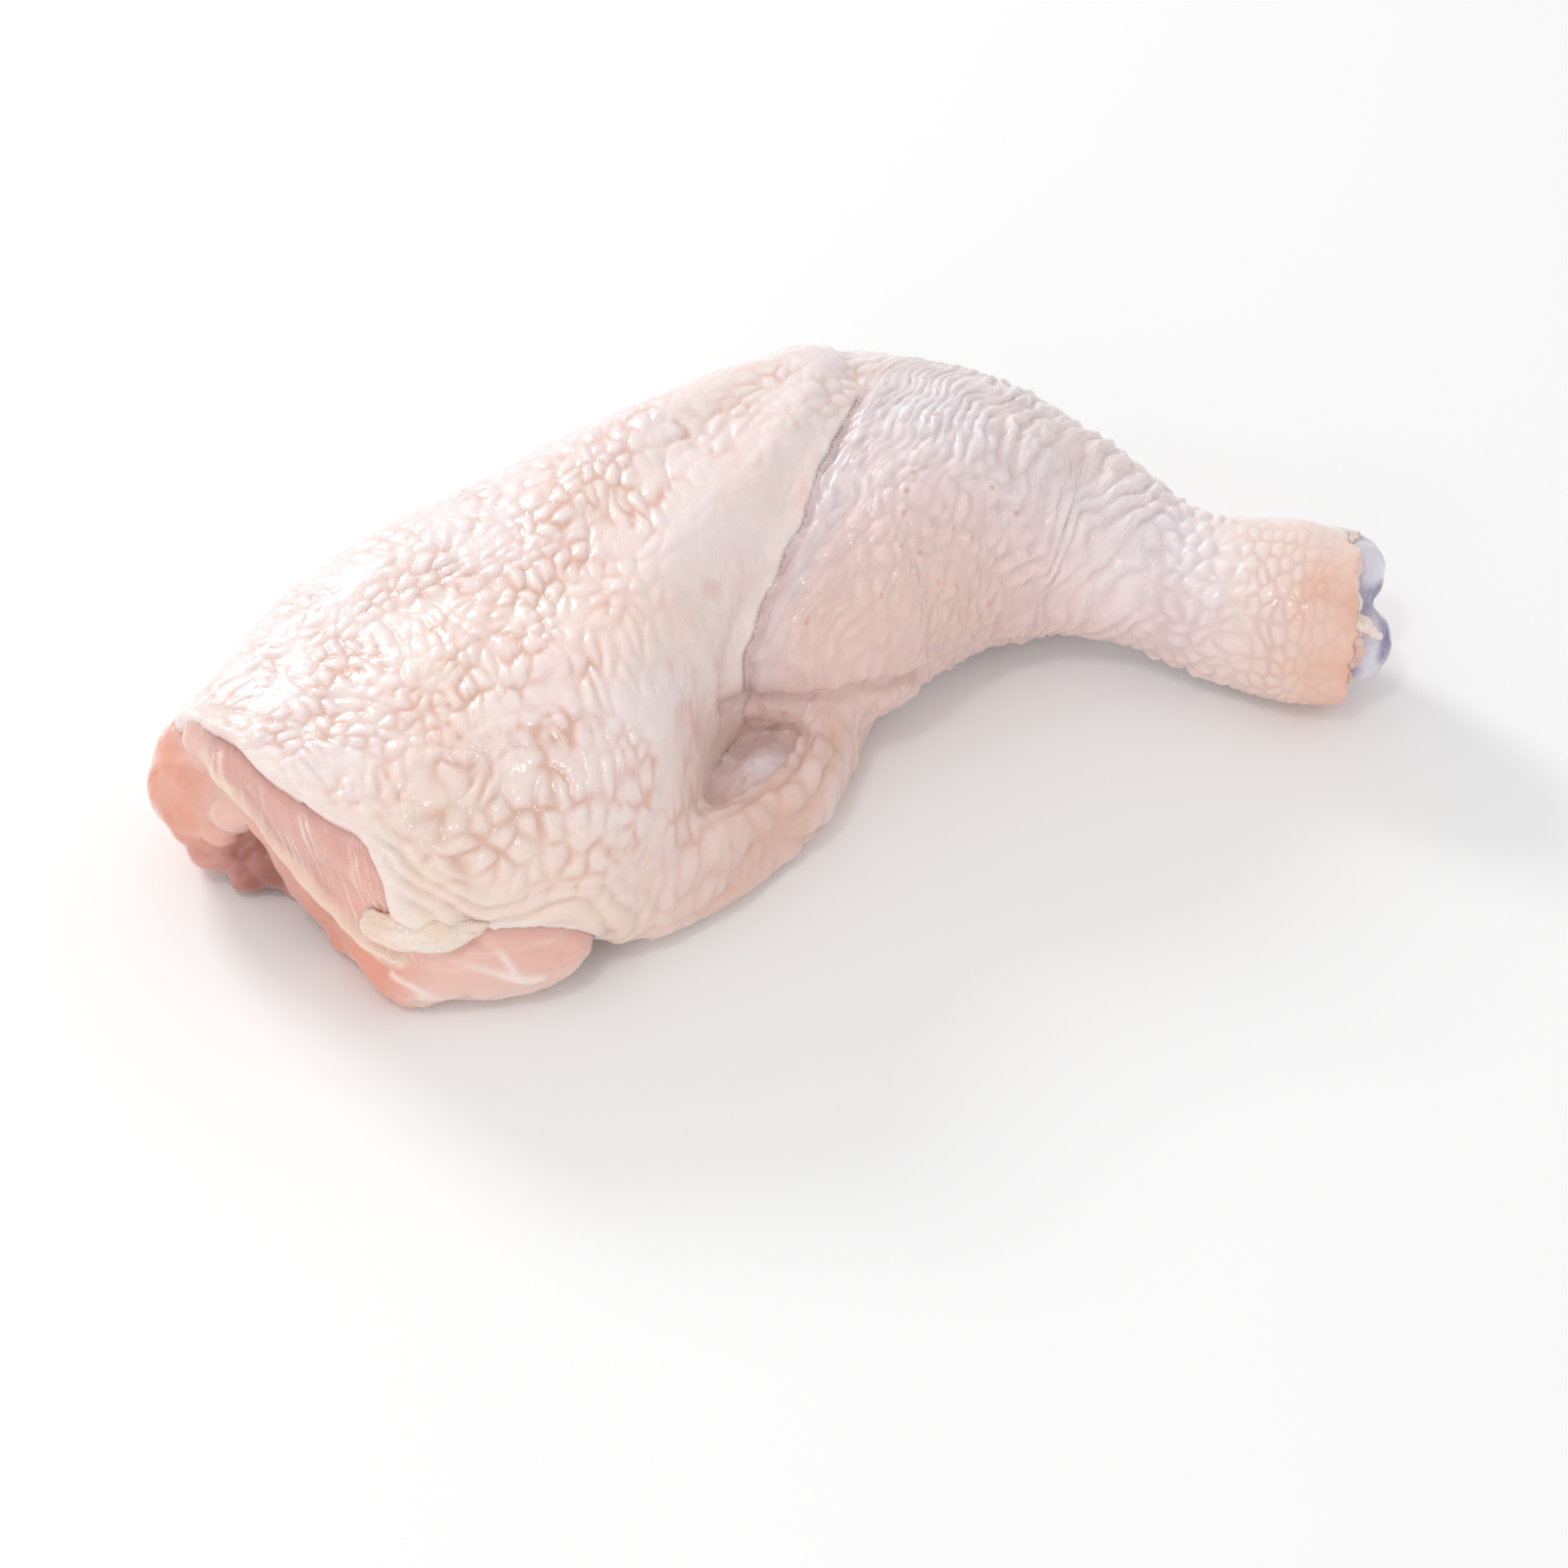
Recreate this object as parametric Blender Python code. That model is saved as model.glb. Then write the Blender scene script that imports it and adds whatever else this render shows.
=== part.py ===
"""A raw chicken leg quarter, skin side up, thigh and drumstick bent into a wide V.

The thigh lies to the left with its hip end cut open, the knee is at the back, and the drumstick runs
to the right and ends in the bare knuckle of its bone. The skin, the meat under it, the flap of fat at
the cut and the leg bone are four separate solids that fit inside one another.

+X runs from the hip end to the knuckle, +Y from the cut edge to the knee, +Z up. The leg lies on Z = 0.
Places are in millimetres in the tables below, and every function turns them into metres.
"""

import math

import bmesh
import bpy
import numpy as np
from mathutils import Euler, Matrix, Vector
from mathutils.kdtree import KDTree

MM = 0.001

# Layers
SKIN_THICKNESS = 2.2
FIT_GAP = 0.35
# Whatever is lower than this is pressed flat, so that the leg lies on flat faces
TABLE_LEVEL = 0.4

# Thigh: a cushion around a ridge. Its rim, the widest line round it, is at THIGH_RIM_HEIGHT.
# It runs past the cut at the hip end, where the cutters trim it.
THIGH_RIM_HEIGHT = 15
THIGH_RIM = [
    (-93, 0), (-87, 17), (-79, 35), (-61, 51), (-36, 64), (-12, 74.5), (5, 83), (15, 78), (12, 62),
    (6, 45), (-1, 30), (-8, 18), (-11, 9), (-13, -2), (-16, -14), (-26, -22.5), (-42, -27), (-62, -31), (-86, -28),
]
THIGH_RIDGE = [(-87, 4, 31), (-54, 18, 40), (-24, 32, 45.5), (-1, 60, 48)]
# How full the cushion is outwards and upwards: 1 is round, less is squarer
THIGH_FULLNESS = (0.6, 0.8)
LIMB_FULLNESS = 0.9

# Drumstick: oval rings along the bone, from under the thigh's skin to the knuckle.
# Each row holds the ring's centre x, y, z, then half its width and half its height.
DRUMSTICK_RINGS = [
    (-22, 42, 20, 16, 12),
    (-15, 44, 20, 27, 17),
    (-6, 48, 21, 33, 20),
    (3, 53, 22, 34, 22),
    (13, 57.5, 22.5, 32, 23),
    (29, 60, 21.2, 25.5, 21),
    (44, 58, 19, 18.2, 16.4),
    (52, 55, 17.8, 14.8, 14.2),
    (60, 51.3, 16, 12, 12.6),
    (67, 48, 15, 11.8, 12.8),
    (75, 45.7, 14.8, 13.2, 13.8),
    (83, 44.3, 14.7, 14.6, 14.3),
    (94, 42.8, 14.7, 14, 13.6),
]

# Flesh that rounds off the back of the knee and the thigh: centre, radii, turn in degrees about X, Y, Z
BULGES = [
    ((-13, 60, 18), (23, 15.5, 18), (0, 0, 28)),
    ((-47, 9, 19), (38, 27, 21.5), (0, -8, 36)),
]

# Apron of skin in the crook between thigh and drumstick: its floor, then the fold along its free edge
WEB_FLOOR_RINGS = [
    (-24, -10, 8, 10, 8),
    (-12, -2, 6, 9, 6),
    (-4, 8, 4.5, 8.5, 5.2),
    (2, 20, 4.2, 9, 5),
    (6, 34, 5, 9, 6),
]
WEB_FOLD_RINGS = [
    (-27, -16, 12, 6, 9),
    (-15, -9, 12, 5, 8.5),
    (-5, -1, 11, 4.5, 7.5),
    (3.5, 8, 9.5, 4, 7),
    (9, 27, 9, 4.5, 7),
    (13.5, 40, 8, 5, 6),
]

# Folds pressed into or raised from the envelope: height, half width, then the points they run through
FOLDS = [
    (-1.6, 2.6, [(13, 68, 46), (10.4, 58, 46), (7, 49.5, 45.5), (4, 39.5, 44.5), (-0.5, 30.5, 41)]),
    (-2.4, 2.2, [(-1, 29, 38), (-5, 22, 34), (-7.5, 17, 29), (-8.5, 14, 23)]),
    (-3.4, 1.9, [(-8, 16, 20), (-4, 19, 18.5), (3, 18, 18.5), (9, 18.5, 19), (15, 21, 19), (22, 26, 17)]),
    (-1.3, 1.8, [(5, 16, 16), (-2, 5, 18), (-9, -2, 18), (-18, -8, 20)]),
]

# Cut at the hip end, seen from above, for the skin and a little further out for the meat
HIP_CUT = [(-118, 31), (-102, 16), (-90, 5), (-81, -3.5), (-72.5, -12), (-65.5, -18), (-58.5, -24), (-50, -40)]
HIP_CUT_CORNERS = [(-52, -90), (-150, -90), (-150, 31)]
MEAT_BEYOND_SKIN = 2.0
# A knife's wobble along each cut: how far to the side, how many waves, and where they start
SKIN_WOBBLE = (0.35, 3, 0.0)
MEAT_WOBBLE = (0.5, 3, 2.0)
FRONT_WOBBLE = (0.5, 4, 0.0)
# Lower edge of the skin on the thigh's front side: x and height
FRONT_EDGE = [(-70, 31), (-58, 23), (-50, 18.5), (-41, 16), (-35, 13), (-30, 9), (-26, 4), (-24, -2), (-23, -8)]
FRONT_EDGE_CORNER = (-70, -8)
FRONT_CUT_REACH = 12
# Opening in the skin under the thigh, seen from above, where the meat itself lies on the table
UNDERSIDE_OPENING = [
    (-112, 20), (-80, 26), (-60, 38), (-38, 49), (-27, 46), (-24, 32), (-25, 12), (-25, -8), (-25, -22), (-40, -50),
    (-120, -60),
]
UNDERSIDE_DEPTH = 3.2

# Muscles at the hip end: centre, radii, turn in degrees about X, Y, Z
HIP_MUSCLES = [
    ((-83, 8, 14.5), (14.5, 12, 13), (0, -8, 20)),
    ((-77, 3.5, 15), (7.5, 6.5, 7), (0, 0, 0)),
    ((-79, 3, 5.5), (10, 6, 5.5), (0, 0, -8)),
    ((-86, 5, 6), (7, 6, 6), (0, 0, 10)),
]
# Hollow under the sheet of muscle at the hip end: start of the cut face seen from above, the face's turn,
# how deep the hollow runs into it, and the hollow's roof line along the face and up
HOLLOW_START = (-90, 5)
HOLLOW_TURN = -42.6
HOLLOW_DEPTH = 6.5
HOLLOW_ROOF = [(-14, 26), (3, 23), (10, 20.5), (17, 17), (22, 12.5), (27, 7.5), (31, 2), (33, -6)]
HOLLOW_CORNER = (-14, -6)
# Lobes of meat along the thigh's lower front edge
FRONT_MUSCLES = [
    ((-54, -23.5, 7), (8, 7.5, 7.5), (0, 0, 10)),
    ((-45, -23, 9), (17, 7.5, 8.5), (0, 0, 6)),
]

# Fat flap under the skin's lower corner
FAT_FLAP = ((-52, -27.2, 17.0), (10, 4.5, 2.4), (28, 0, 2))

# Leg bone: round stations along the shaft, then the two rounded ends of the ankle joint
BONE_RINGS = [
    (6, 58, 22, 9, 8),
    (14, 58, 22, 6.5, 6),
    (30, 57, 20.5, 4.2, 4),
    (55, 52.5, 17.5, 3.6, 3.5),
    (72, 47, 15.5, 4.4, 4.2),
    (82, 44.8, 15.7, 7.5, 6.5),
    (88, 43.8, 16.2, 9.5, 8),
]
KNUCKLE_HEADS = [
    ((89.3, 47.6, 20.5), (6.6, 6.4, 7.0), (30, 0, -12)),
    ((90.2, 39.8, 12.4), (6.6, 6.6, 6.6), (30, 0, -12)),
]
# Cut through skin and meat round the knuckle: a point on it and its turn. The meat ends a little sooner.
ANKLE_CUT = (90.5, 41)
ANKLE_CUT_TURN = -9
MEAT_SHORT_OF_SKIN = 0.8

# Lowest and highest level of the bodies that cut
CUT_LOW = -20
CUT_HIGH = 80
CUT_REACH = 50

# Mesh density
CURVE_POINTS = 60
VOXEL = 1.25
BONE_VOXEL = 0.8
BLEND_STEPS = 6
LIGHT_BLEND_STEPS = 2
ENVELOPE_TRIANGLES = 5600
MEAT_TRIANGLES = 3200
BONE_TRIANGLES = 760

# Finish: colour, roughness
SKIN_FINISH = ((0.86, 0.69, 0.62), 0.38)
MEAT_FINISH = ((0.80, 0.44, 0.36), 0.34)
FAT_FINISH = ((0.90, 0.76, 0.58), 0.36)
BONE_FINISH = ((0.66, 0.60, 0.70), 0.24)


def remove_all_objects():
    for obj in list(bpy.data.objects):
        bpy.data.objects.remove(obj)


def add_object(name, mesh):
    obj = bpy.data.objects.new(name, mesh)
    bpy.context.scene.collection.objects.link(obj)
    return obj


def mesh_object(name, bm):
    bmesh.ops.recalc_face_normals(bm, faces=bm.faces)
    mesh = bpy.data.meshes.new(name)
    bm.to_mesh(mesh)
    bm.free()
    return add_object(name, mesh)


def body_from_rings(name, rings, start_tip, end_tip):
    """A closed body through rings of equal point counts, closed by a fan to a tip at each end."""
    bm = bmesh.new()
    loops = [[bm.verts.new(p) for p in ring] for ring in rings]
    start = bm.verts.new(start_tip)
    end = bm.verts.new(end_tip)
    count = len(rings[0])
    for i in range(count):
        j = (i + 1) % count
        for low, high in zip(loops, loops[1:]):
            bm.faces.new((low[i], low[j], high[j], high[i]))
        bm.faces.new((start, loops[0][j], loops[0][i]))
        bm.faces.new((end, loops[-1][i], loops[-1][j]))
    return mesh_object(name, bm)


def spline(points, count, closed=False):
    """Points spread over a Catmull-Rom curve through the given ones."""
    points = np.array(points, float)
    n = len(points)
    spans = n if closed else n - 1
    out = []
    for k in range(count):
        t = k / (count if closed else count - 1) * spans
        i = min(int(t), spans - 1)
        f = t - i
        if closed:
            a, b, c, d = (points[(i + o) % n] for o in (-1, 0, 1, 2))
        else:
            b, c = points[i], points[i + 1]
            a = points[i - 1] if i > 0 else 2 * b - c
            d = points[i + 2] if i + 2 < n else 2 * c - b
        bend = (2 * a - 5 * b + 4 * c - d) * f**2 + (3 * b - a - 3 * c + d) * f**3
        out.append(0.5 * (2 * b + (c - a) * f + bend))
    return np.array(out)


def signed_power(value, exponent):
    return math.copysign(abs(value) ** exponent, value)


def cushion(name, rim, ridge, rim_height, levels=14, sides=110):
    """A pillow with a flat underside, from its rim up to a ridge."""
    edge = spline(rim, sides, closed=True) * MM
    line = spline(ridge, CURVE_POINTS) * MM
    nearest = np.linalg.norm(edge[:, None, :] - line[None, :, :2], axis=2).argmin(axis=1)
    side = rim_height * MM
    out_power, up_power = THIGH_FULLNESS
    rings = []
    for k in range(1, levels):
        angle = math.pi * (k / levels - 0.5)
        out = abs(math.cos(angle)) ** out_power
        up = signed_power(math.sin(angle), up_power)
        ring = []
        for point, top in zip(edge, line[nearest]):
            x, y = top[:2] + (point - top[:2]) * out
            rise = top[2] - side if up > 0 else side
            ring.append((x, y, side + rise * up))
        rings.append(ring)
    middle = line[len(line) // 2]
    return body_from_rings(name, rings, (middle[0], middle[1], 0.0), tuple(middle))


def limb(name, stations, samples=32, sides=40, fullness=LIMB_FULLNESS):
    """A body through oval rings square to their own centre line."""
    line = spline(stations, samples) * MM
    rings = []
    for k, (x, y, z, wide, high) in enumerate(line):
        ahead = line[min(k + 1, samples - 1)][:3] - line[max(k - 1, 0)][:3]
        tangent = Vector(ahead).normalized()
        across = tangent.cross(Vector((0, 0, 1))).normalized()
        upward = across.cross(tangent)
        ring = []
        for s in range(sides):
            angle = 2 * math.pi * s / sides
            a = signed_power(math.cos(angle), fullness) * wide
            b = signed_power(math.sin(angle), fullness) * high
            ring.append(Vector((x, y, z)) + across * a + upward * b)
        rings.append(ring)
    return body_from_rings(name, rings, Vector(line[0][:3]), Vector(line[-1][:3]))


def lump(name, centre, radii, turn, segments=36, rings=20):
    """An ellipsoid."""
    bm = bmesh.new()
    bmesh.ops.create_uvsphere(bm, u_segments=segments, v_segments=rings, radius=1.0)
    size = Matrix.Diagonal(Vector(radii) * MM).to_4x4()
    spin = Euler([math.radians(a) for a in turn]).to_matrix().to_4x4()
    bm.transform(Matrix.Translation(Vector(centre) * MM) @ spin @ size)
    return mesh_object(name, bm)


def prism(name, outline, low, high, lift=None):
    """An outline in the plane of X and Y, from low to high. lift, a matrix, stands it up."""
    bm = bmesh.new()
    bottom = [bm.verts.new((x * MM, y * MM, low * MM)) for x, y in outline]
    top = [bm.verts.new((x * MM, y * MM, high * MM)) for x, y in outline]
    bm.faces.new(bottom)
    bm.faces.new(top)
    count = len(outline)
    for i in range(count):
        j = (i + 1) % count
        bm.faces.new((bottom[i], bottom[j], top[j], top[i]))
    if lift is not None:
        bm.transform(lift)
    return mesh_object(name, bm)


def wavy(points, wobble):
    """A curve through points, with a knife's small wobble across it."""
    swing, waves, start = wobble
    line = spline(points, CURVE_POINTS)
    along = np.gradient(line, axis=0)
    across = np.column_stack([-along[:, 1], along[:, 0]])
    across /= np.linalg.norm(across, axis=1)[:, None]
    t = np.linspace(0, 2 * math.pi * waves, CURVE_POINTS) + start
    aside = swing * (np.sin(t) + 0.6 * np.sin(1.7 * t + 1.3))
    return line + across * aside[:, None]


def apply_modifiers(obj):
    """Replaces the mesh by what the modifiers make of it."""
    graph = bpy.context.evaluated_depsgraph_get()
    made = bpy.data.meshes.new_from_object(obj.evaluated_get(graph), depsgraph=graph)
    obj.modifiers.clear()
    obj.data = made


def joined(name, objects):
    """One object with the meshes of several, which are removed."""
    bm = bmesh.new()
    for obj in objects:
        bm.from_mesh(obj.data)
        bpy.data.objects.remove(obj)
    mesh = bpy.data.meshes.new(name)
    bm.to_mesh(mesh)
    bm.free()
    return add_object(name, mesh)


def fuse(obj, voxel, steps):
    """Makes overlapping bodies one and blends where they meet."""
    remesh = obj.modifiers.new("Fuse", "REMESH")
    remesh.mode = "VOXEL"
    remesh.voxel_size = voxel * MM
    smooth = obj.modifiers.new("Blend", "SMOOTH")
    smooth.factor = 0.5
    smooth.iterations = steps
    apply_modifiers(obj)


def thin_out(obj, triangles):
    obj.data.calc_loop_triangles()
    decimate = obj.modifiers.new("ThinOut", "DECIMATE")
    decimate.ratio = triangles / len(obj.data.loop_triangles)
    apply_modifiers(obj)


def swollen(obj, name, distance):
    """A copy of obj with its surface moved out by distance, or in if it is below zero."""
    copy = add_object(name, obj.data.copy())
    move = copy.modifiers.new("Swell", "DISPLACE")
    move.strength = distance * MM
    move.mid_level = 0.0
    apply_modifiers(copy)
    return copy


def combine(obj, other, operation):
    """A Boolean of obj with other, which is removed."""
    boolean = obj.modifiers.new(operation.title(), "BOOLEAN")
    boolean.operation = operation
    boolean.solver = "EXACT"
    boolean.object = other
    apply_modifiers(obj)
    bpy.data.objects.remove(other)


def read_points(mesh):
    flat = np.empty(len(mesh.vertices) * 3, np.float32)
    mesh.vertices.foreach_get("co", flat)
    return flat.reshape(-1, 3).astype(float)


def write_points(mesh, points):
    mesh.vertices.foreach_set("co", points.astype(np.float32).ravel())
    mesh.update()


def press_folds(obj):
    """Moves the surface along its normals near each fold."""
    mesh = obj.data
    points = read_points(mesh)
    normals = np.array([v.normal for v in mesh.vertices])
    move = np.zeros(len(points))
    for height, half_width, route in FOLDS:
        line = spline(route, 24) * MM
        distance = np.linalg.norm(points[:, None, :] - line[None, :, :], axis=2).min(axis=1)
        move += height * MM * np.exp(-((distance / (half_width * MM)) ** 2))
    write_points(mesh, points + normals * move[:, None])


def press_flat(obj, level):
    """Flattens whatever is below level."""
    points = read_points(obj.data)
    points[:, 2] = np.maximum(points[:, 2], level * MM)
    write_points(obj.data, points)


def keep_largest(obj):
    """Drops loose scraps that a cut leaves."""
    bm = bmesh.new()
    bm.from_mesh(obj.data)
    bm.verts.ensure_lookup_table()
    left = set(bm.verts)
    islands = []
    while left:
        island = {left.pop()}
        edge = list(island)
        while edge:
            vert = edge.pop()
            for link in vert.link_edges:
                other = link.other_vert(vert)
                if other in left:
                    left.discard(other)
                    island.add(other)
                    edge.append(other)
        islands.append(island)
    largest = max(islands, key=len)
    scraps = [v for v in bm.verts if v not in largest]
    bmesh.ops.delete(bm, geom=scraps, context="VERTS")
    bm.to_mesh(obj.data)
    bm.free()


def make_envelope(name, with_fold):
    """The whole outside of the leg before any cut. The fold along the web's edge is skin only."""
    bodies = [
        cushion("thigh", THIGH_RIM, THIGH_RIDGE, THIGH_RIM_HEIGHT),
        limb("drumstick", DRUMSTICK_RINGS),
        limb("web_floor", WEB_FLOOR_RINGS),
    ]
    bodies += [lump(f"bulge_{k}", *size) for k, size in enumerate(BULGES)]
    if with_fold:
        bodies.append(limb("web_fold", WEB_FOLD_RINGS))
    envelope = joined(name, bodies)
    fuse(envelope, VOXEL, BLEND_STEPS)
    press_folds(envelope)
    press_flat(envelope, 0.0)
    return envelope


def hip_wall(name, outward, wobble):
    """Everything beyond the cut at the hip end, or that far outwards from it."""
    edge = wavy(HIP_CUT, wobble)
    along = np.gradient(edge, axis=0)
    normal = np.column_stack([along[:, 1], -along[:, 0]])
    normal /= np.linalg.norm(normal, axis=1)[:, None]
    outline = [tuple(p) for p in edge + normal * outward]
    return prism(name, outline + HIP_CUT_CORNERS, CUT_LOW, CUT_HIGH)


def front_wall():
    """Everything below the skin's lower edge on the thigh's front side."""
    outline = [tuple(p) for p in wavy(FRONT_EDGE, FRONT_WOBBLE)] + [FRONT_EDGE_CORNER]
    stand = Matrix.Rotation(math.radians(90), 4, "X")
    return prism("front_wall", outline, -FRONT_CUT_REACH, CUT_HIGH, stand)


def hollow():
    """The room under the sheet of muscle at the hip end."""
    along = Vector((1, 0, 0))
    along.rotate(Euler((0, 0, math.radians(HOLLOW_TURN))))
    up = Vector((0, 0, 1))
    outward = along.cross(up)
    stand = Matrix((along, up, outward)).transposed().to_4x4()
    place = Matrix.Translation(Vector((*HOLLOW_START, 0)) * MM) @ stand
    outline = [tuple(p) for p in spline(HOLLOW_ROOF, CURVE_POINTS)] + [HOLLOW_CORNER]
    return prism("hollow", outline, -HOLLOW_DEPTH, CUT_REACH, place)


def underside_slab():
    """The lowest layer of the thigh, where it has no skin."""
    outline = [tuple(p) for p in spline(UNDERSIDE_OPENING, CURVE_POINTS, closed=True)]
    return prism("underside_slab", outline, CUT_LOW, UNDERSIDE_DEPTH)


def ankle_wall(name, sooner=0.0):
    """Everything past the cut at the knuckle."""
    outline = [(0, -CUT_REACH), (0, CUT_REACH), (CUT_REACH, CUT_REACH), (CUT_REACH, -CUT_REACH)]
    x, y = ANKLE_CUT
    place = Matrix.Translation(Vector((x - sooner, y, 0)) * MM)
    turn = Matrix.Rotation(math.radians(ANKLE_CUT_TURN), 4, "Z")
    return prism(name, outline, CUT_LOW, CUT_HIGH, place @ turn)


def make_meat():
    """The flesh: the envelope less its skin, cut at the hip and ankle, with the muscles that show there."""
    underside = make_envelope("underside", with_fold=False)
    flesh = swollen(underside, "flesh", -(SKIN_THICKNESS + FIT_GAP))
    combine(underside, underside_slab(), "INTERSECT")
    meat = joined("meat", [flesh, underside])
    fuse(meat, VOXEL, LIGHT_BLEND_STEPS)
    combine(meat, hip_wall("meat_end", MEAT_BEYOND_SKIN, MEAT_WOBBLE), "DIFFERENCE")
    combine(meat, hollow(), "DIFFERENCE")
    combine(meat, ankle_wall("meat_ankle", MEAT_SHORT_OF_SKIN), "DIFFERENCE")
    muscles = [lump(f"muscle_{k}", *size) for k, size in enumerate(HIP_MUSCLES + FRONT_MUSCLES)]
    meat = joined("meat", [meat] + muscles)
    fuse(meat, VOXEL, BLEND_STEPS)
    thin_out(meat, MEAT_TRIANGLES)
    press_flat(meat, TABLE_LEVEL)
    return meat


def make_bone():
    shaft = limb("shaft", BONE_RINGS, sides=24, fullness=1.0)
    heads = [lump(f"head_{k}", *size) for k, size in enumerate(KNUCKLE_HEADS)]
    bone = joined("leg_bone", [shaft] + heads)
    fuse(bone, BONE_VOXEL, LIGHT_BLEND_STEPS)
    thin_out(bone, BONE_TRIANGLES)
    return bone


def stand_on_origin(objects):
    """Moves all of them so that the middle of the whole's underside is the origin."""
    corners = np.vstack([read_points(obj.data) for obj in objects])
    low, high = corners.min(axis=0), corners.max(axis=0)
    shift = np.array([-(low[0] + high[0]) / 2, -(low[1] + high[1]) / 2, -low[2]])
    for obj in objects:
        write_points(obj.data, read_points(obj.data) + shift)


def finish(obj, finish_of):
    colour, roughness = finish_of
    material = bpy.data.materials.new(obj.name)
    material.use_nodes = True
    shader = material.node_tree.nodes["Principled BSDF"]
    shader.inputs["Base Color"].default_value = (*colour, 1.0)
    shader.inputs["Roughness"].default_value = roughness
    shader.inputs["Metallic"].default_value = 0.0
    obj.data.materials.clear()
    obj.data.materials.append(material)
    obj.data.shade_smooth()
    obj.data.set_sharp_from_angle(angle=math.radians(50))


def main():
    remove_all_objects()
    bone = make_bone()
    meat = make_meat()

    skin = make_envelope("skin", with_fold=True)
    thin_out(skin, ENVELOPE_TRIANGLES)
    press_flat(skin, TABLE_LEVEL)
    combine(skin, hip_wall("skin_end", 0.0, SKIN_WOBBLE), "DIFFERENCE")
    combine(skin, front_wall(), "DIFFERENCE")
    combine(skin, underside_slab(), "DIFFERENCE")
    combine(skin, ankle_wall("skin_ankle"), "DIFFERENCE")
    combine(skin, swollen(meat, "meat_room", FIT_GAP), "DIFFERENCE")
    combine(skin, swollen(bone, "bone_room", FIT_GAP), "DIFFERENCE")
    keep_largest(skin)

    combine(meat, swollen(bone, "bone_channel", FIT_GAP), "DIFFERENCE")
    keep_largest(meat)

    flap = lump("fat_flap", *FAT_FLAP, segments=20, rings=12)
    combine(flap, swollen(meat, "meat_bed", FIT_GAP), "DIFFERENCE")
    combine(flap, swollen(skin, "skin_bed", FIT_GAP), "DIFFERENCE")
    keep_largest(flap)

    looks = {skin: SKIN_FINISH, meat: MEAT_FINISH, flap: FAT_FINISH, bone: BONE_FINISH}
    stand_on_origin(list(looks))
    for obj, look in looks.items():
        finish(obj, look)


main()
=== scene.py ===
"""A raw chicken leg quarter, skin side up, on a plain pale table in soft light.

Each CAD node is copied, remeshed finely and given its relief, colour and wetness by fields that are
worked out at every point: puffed skin on the thigh, wrinkles, follicles and scales on the drumstick,
folds in the web between them, and the cut muscles at the hip end. The skin becomes two pieces, which
meet at the crease.

Places in the tables are in millimetres, in the leg's own coordinates, in which LEG_ORIGIN is the
frame's origin. Colours are written as they look, from 0 to 255.
"""

import itertools
import math
from types import SimpleNamespace

import bmesh
import bpy
import numpy as np
from mathutils import Euler, Matrix, Vector
from mathutils.bvhtree import BVHTree

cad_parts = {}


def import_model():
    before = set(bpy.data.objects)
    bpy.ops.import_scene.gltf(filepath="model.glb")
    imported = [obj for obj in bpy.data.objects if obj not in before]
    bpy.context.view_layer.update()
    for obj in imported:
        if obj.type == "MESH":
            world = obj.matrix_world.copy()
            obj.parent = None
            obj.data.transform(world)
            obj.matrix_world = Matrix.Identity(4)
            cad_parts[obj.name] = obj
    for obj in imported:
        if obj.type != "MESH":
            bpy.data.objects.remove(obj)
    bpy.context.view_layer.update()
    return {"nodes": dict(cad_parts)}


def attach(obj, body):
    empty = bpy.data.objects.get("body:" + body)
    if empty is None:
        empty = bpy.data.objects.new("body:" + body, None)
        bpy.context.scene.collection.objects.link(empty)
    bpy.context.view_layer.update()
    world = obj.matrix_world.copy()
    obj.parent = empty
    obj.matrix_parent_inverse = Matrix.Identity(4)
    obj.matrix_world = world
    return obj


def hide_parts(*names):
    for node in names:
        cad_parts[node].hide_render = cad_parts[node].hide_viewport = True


MM = 0.001
LEG_ORIGIN = np.array([-0.195, 28.482, 0.4])

# Camera, as in the photograph: 45 degrees above the table
CAMERA_TARGET = (0.0, 0.0, 20.0)
CAMERA_DISTANCE = 556.0
CAMERA_ELEVATION = 45.0
CAMERA_LENS = 85.0

# Mesh density: size of the remeshed faces, and the most triangles that each body keeps
SKIN_VOXEL = 0.40
MEAT_VOXEL = 0.5
BONE_VOXEL = 0.5
FLAP_VOXEL = 0.4
BITS_VOXEL = 0.3
SKIN_TRIANGLES = 350000
MEAT_TRIANGLES = 90000
BONE_TRIANGLES = 24000
# Faces are hidden below this height above the table. This share of the hidden ones stays
TABLE_GAP = 0.3
HIDDEN_SHARE = 0.05
# How far the distance between skin and meat is measured, and over which distances each goes from
# hidden by the other to shown
DISTANCE_LIMIT = 2.4
SKIN_SHOWN = (1.0, 2.0)
MEAT_SHOWN = (0.7, 2.2)

# Thigh: its axis from the hip end to the knee, its height, and the radius it is unrolled with
THIGH_START = (-92.0, 0.0)
THIGH_END = (0.0, 60.0)
THIGH_AXIS_HEIGHT = 8.0
THIGH_RADIUS = 34.0

# Drumstick: points of its axis, and its radius there
LIMB_AXIS = [
    (-15, 44, 20, 27), (-6, 48, 21, 30), (3, 53, 22, 31), (13, 57.5, 22.5, 30), (29, 60, 21.2, 24),
    (44, 58, 19, 17.5), (52, 55, 17.8, 14.5), (60, 51.3, 16, 12.3), (67, 48, 15, 12.2),
    (75, 45.7, 14.8, 13.5), (83, 44.3, 14.7, 14.4), (94, 42.8, 14.7, 13.8),
]

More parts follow.
